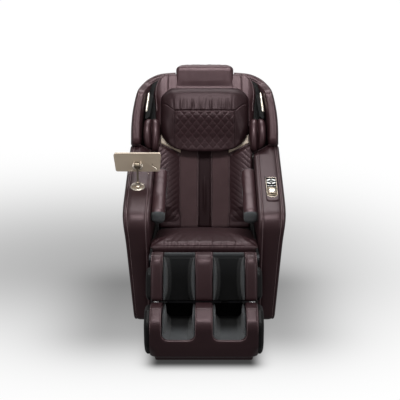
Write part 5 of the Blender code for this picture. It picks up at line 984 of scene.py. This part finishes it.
# tablet holder: lip along the top, pressed folds and a round boss, on the plate's own axes
holder = dict(x=-0.330, y=-0.103, z=0.7731, lean=math.radians(18.0), front=0.0203)
acrossX = np.array([1.0, 0.0, 0.0])
plateUp = np.array([0.0, math.sin(holder["lean"]), math.cos(holder["lean"])])
plateIn = np.array([0.0, math.cos(holder["lean"]), -math.sin(holder["lean"])])
hub = np.array([holder["x"], holder["y"], holder["z"]])


# points on the plate: across, up and into it from the tilt hub
def onPlate(x, z, y):
    x, z, y = np.broadcast_arrays(np.asarray(x, float), z, y)
    return hub + x[..., None] * acrossX + z[..., None] * plateUp + y[..., None] * plateIn


folds = (("lip", (-0.112, 0.0540), (0.112, 0.0540), 0.0019, polished),
         ("groove", (-0.108, 0.0502), (0.108, 0.0502), 0.0010, glass),
         ("fold_a", (0.1075, 0.034), (0.068, 0.0015), 0.0009, plastic),
         ("fold_b", (0.068, 0.0015), (0.1105, -0.0275), 0.0013, polished),
         ("tab_a", (-0.035, -0.026), (-0.050, -0.044), 0.0012, polished),
         ("tab_b", (0.040, -0.0245), (0.056, -0.042), 0.0012, polished))
for label, start, end, radius, finish in folds:
    spots = np.linspace(start, end, 12)
    trim("plate_" + label, onPlate(spots[:, 0], spots[:, 1], holder["front"]), radius, "holder_plate", finish)
# the boss is notched at the bottom, where the stem passes as the plate tilts
turn = np.linspace(0.0, 2.0 * math.pi, 40, endpoint=False)
notch = 1.0 - 0.62 * bell(turn, 1.5 * math.pi, 0.42)
boss = [onPlate(r * notch * np.cos(turn), r * notch * np.sin(turn), holder["front"] - lift) for r, lift in
        ((0.024, 0.0), (0.026, 0.0006), (0.0255, 0.0018), (0.022, 0.0026), (0.018, 0.0028))]
settle(skin("plate_boss", np.stack(boss)), [polished], "holder_plate")

# control panel: gold face, glass keypad with plain marks, slot and rim, on the slope of the arm
panel = dict(x=0.3325, y=-0.1147, top=0.0100, half=0.0258, low=-0.0830, high=0.0850, markY=0.0125, mark=0.0155)
panelUp = np.array([0.0, math.cos(armSlope), math.sin(armSlope)])
panelOut = np.array([0.0, -math.sin(armSlope), math.cos(armSlope)])
panelMiddle = np.array([panel["x"], panel["y"], armTop(panel["y"])]) + panelOut * panel["top"]
ways = (acrossX, panelUp, panelOut)


# points on the panel: across, up the slope and off its face
def onPanel(x, y, lift):
    return panelMiddle + x * acrossX + y * panelUp + lift * panelOut


face = even(rounded([(-panel["half"], panel["low"], 0.022), (panel["half"], panel["low"], 0.022),
                     (panel["half"], panel["high"], 0.009), (-panel["half"], panel["high"], 0.009)]), 120)
grid = np.stack([onPanel(face[:, :1], face[:, 1:], lift) for lift in (-0.002, 0.0004)])
settle(skin("panel_face", grid), [gold], "seat")
plates = [("keypad_glass", (0.0, 0.0425, 0.0005), (0.0238, 0.0400, 0.0003), glass, "black_plastic"),
          ("panel_slot", (0.0, -0.0745, 0.0005), (0.0120, 0.0042, 0.0003), glass, "black_plastic")]
for k in range(3):
    plates.append(("panel_mark_%d" % k, ((k - 1) * panel["mark"], panel["markY"], 0.0010), (0.0052, 0.0022, 0.0003),
                   white, "white_plastic"))
for name, spot, halves, finish, slot in plates:
    settle(bar(name, onPanel(*spot), halves, ways), [finish], "seat")
corners = ((0.0062, 0.0483), (0.0, 0.0548), (-0.0062, 0.0483), (0.0, 0.0418))
diamond = even(np.array([onPanel(x, y, 0.0010) for x, y in corners]), 40)
trim("panel_diamond", diamond, 0.0008, "seat", white, 6, True)
trim("panel_rim", grid[-1], 0.0011, "seat", polished, loop=True)
# mark on top of the dial, a little below its middle
knob = (vertexTable(nodes["dial"].data) - panelMiddle) @ np.array(ways).T
low = knob.min(axis=0)
high = knob.max(axis=0)
spot = onPanel(0.5 * (low[0] + high[0]), 0.5 * (low[1] + high[1]) - 0.006, high[2])
settle(bar("dial_mark", spot, (0.0028, 0.0046, 0.0004), ways), [plastic], "dial")
# small bright tabs on the wings' flanks, and dark ones at the feet of the bars
origin = placed(back, 0.0, 0.0, 0.0)
turned = (placed(back, 0.0, 0.0, 1.0) - origin, placed(back, 0.0, 1.0, 0.0) - origin, acrossX)
tabs = dict(wing=dict(place=(0.3885, -0.035, 0.515), half=(0.017, 0.012, 0.0030), finish=polished, slot="gold"),
            bar=dict(place=(0.3060, -0.040, 0.5765), half=(0.0055, 0.010, 0.0080), finish=plastic,
                     slot="black_plastic"))
for side, word in bothSides:
    for label, tab in tabs.items():
        x, y, z = tab["place"]
        piece = bar("%s_%s_tab" % (word, label), placed(back, side * x, y, z), tab["half"], turned)
        settle(piece, [tab["finish"]], "backrest")
print("details done")

# studio floor: white, glowing, with a wide grey painted shadow round the chair and darker painted shadows under it
floor = dict(size=120.0, white=1.0, body=(0.02, 0.02, 0.02, 1.0),
             painted_shadow_pool=dict(x=-0.15, y=0.60, left=2.60, right=1.25, rear=1.60, front=1.02, depth=0.60),
             shade=dict(x=-0.05, y=-0.05, half=0.40, long=0.30, blur=0.30, depth=0.50),
             patch=dict(x=0.0, y=-0.30, half=0.205, long=0.405, blur=0.055, depth=0.93))
bpy.ops.mesh.primitive_plane_add(size=floor["size"])
ground = bpy.context.object
ground.name = "studio_floor"
material, inputs, place = newMaterial("studio_floor", Roughness=1.0, Specular_IOR_Level=0.0, Emission_Strength=1.0)
inputs["Base Color"].default_value = floor["body"]
split = place.node("ShaderNodeSeparateXYZ", {}, {0: place}).socket.node
floorX = Shade(place.tree, split.outputs[0])
floorY = Shade(place.tree, split.outputs[1])


# distance from a centre in one direction, each way with its own scale, squared
def lopsided(value, centre, below, above):
    far = value - centre
    low = far.maths("MINIMUM", far, 0.0) * (1.0 / below)
    high = far.maths("MAXIMUM", far, 0.0) * (1.0 / above)
    return low * low + high * high


# distance outside a centred interval, in blurs, squared
def outside(value, centre, half, blur):
    far = value.maths("ABSOLUTE", value - centre) - half
    near = far.maths("MAXIMUM", far, 0.0) * (1.0 / blur)
    return near * near


# e to the minus distance
def fading(distance):
    return distance.maths("POWER", 2.718, distance * -1.0)


painted_shadow_pool = floor["painted_shadow_pool"]
distance = lopsided(floorX, painted_shadow_pool["x"], painted_shadow_pool["left"], painted_shadow_pool["right"])
distance = distance + lopsided(floorY, painted_shadow_pool["y"], painted_shadow_pool["front"], painted_shadow_pool["rear"])
lit = (1.0 - fading(distance) * painted_shadow_pool["depth"]) * floor["white"]
# painted shadows under the chair: a soft shade and a dark contact patch
for spread in (floor["shade"], floor["patch"]):
    distance = outside(floorX, spread["x"], spread["half"], spread["blur"])
    distance = distance + outside(floorY, spread["y"], spread["long"], spread["blur"])
    lit = lit * (1.0 - fading(distance) * spread["depth"])
lit.between((0.0, 0.0, 0.0), (1.0, 1.0, 1.0)).into(inputs["Emission Color"])
ground.data.materials.append(material)
ground.visible_diffuse = False
ground.visible_glossy = False

# studio: soft white overhead, dim towards the floor
studio = dict(low=(0.36, 0.36, 0.365), high=(0.80, 0.80, 0.80), start=-0.30, end=0.80, strength=0.54)
world = scene.world or bpy.data.worlds.new("studio")
scene.world = world
world.use_nodes = True
background = world.node_tree.nodes["Background"].inputs
sky = Shade(world.node_tree, world.node_tree.nodes.new("ShaderNodeTexCoord").outputs["Generated"])
height = Shade(world.node_tree, sky.node("ShaderNodeSeparateXYZ", {}, {0: sky}).socket.node.outputs[2])
glow = height.node("ShaderNodeMapRange", {}, {0: height, 1: studio["start"], 2: studio["end"], 3: 0.0, 4: 1.0})
glow.between(studio["low"], studio["high"]).into(background["Color"])
background["Strength"].default_value = studio["strength"]

lights = (dict(name="key", place=(0.0, -1.5, 3.6), aim=(0.0, -0.1, 0.5), size=(2.4, 0.9), power=92.0),
          dict(name="strip_left", place=(-2.4, -1.6, 1.5), aim=(0.0, -0.2, 0.6), size=(0.4, 1.8), power=12.0),
          dict(name="strip_right", place=(2.4, -1.6, 1.5), aim=(0.0, -0.2, 0.6), size=(0.4, 1.8), power=12.0),
          dict(name="top", place=(0.0, 1.2, 3.2), aim=(0.0, 0.0, 0.6), size=(2.2, 1.0), power=40.0))
for lamp in lights:
    data = bpy.data.lights.new(lamp["name"], "AREA")
    data.shape = "RECTANGLE"
    data.size, data.size_y = lamp["size"]
    data.energy = lamp["power"]
    light = bpy.data.objects.new(lamp["name"], data)
    scene.collection.objects.link(light)
    light.location = lamp["place"]
    toward = np.array(lamp["aim"]) - np.array(lamp["place"])
    light.rotation_euler = (math.atan2(math.hypot(toward[0], toward[1]), -toward[2]), 0.0,
                            math.atan2(toward[1], toward[0]) - math.pi / 2)

# focal: the lens in picture widths of so many pixels
view = dict(place=(0.0205, -4.4718, 1.8179), tilt=74.0, sensor=36.0, focal=911.0, pixels=400.0, shift=(-0.02125, 0.015))
camera = bpy.data.objects.new("camera", bpy.data.cameras.new("camera"))
scene.collection.objects.link(camera)
camera.location = view["place"]
camera.rotation_euler = (math.radians(view["tilt"]), 0.0, 0.0)
camera.data.sensor_width = view["sensor"]
camera.data.lens = view["focal"] * view["sensor"] / view["pixels"]
camera.data.shift_x, camera.data.shift_y = view["shift"]
scene.camera = camera
scene.view_settings.view_transform = "Standard"
scene.view_settings.look = "None"
print("stage done")
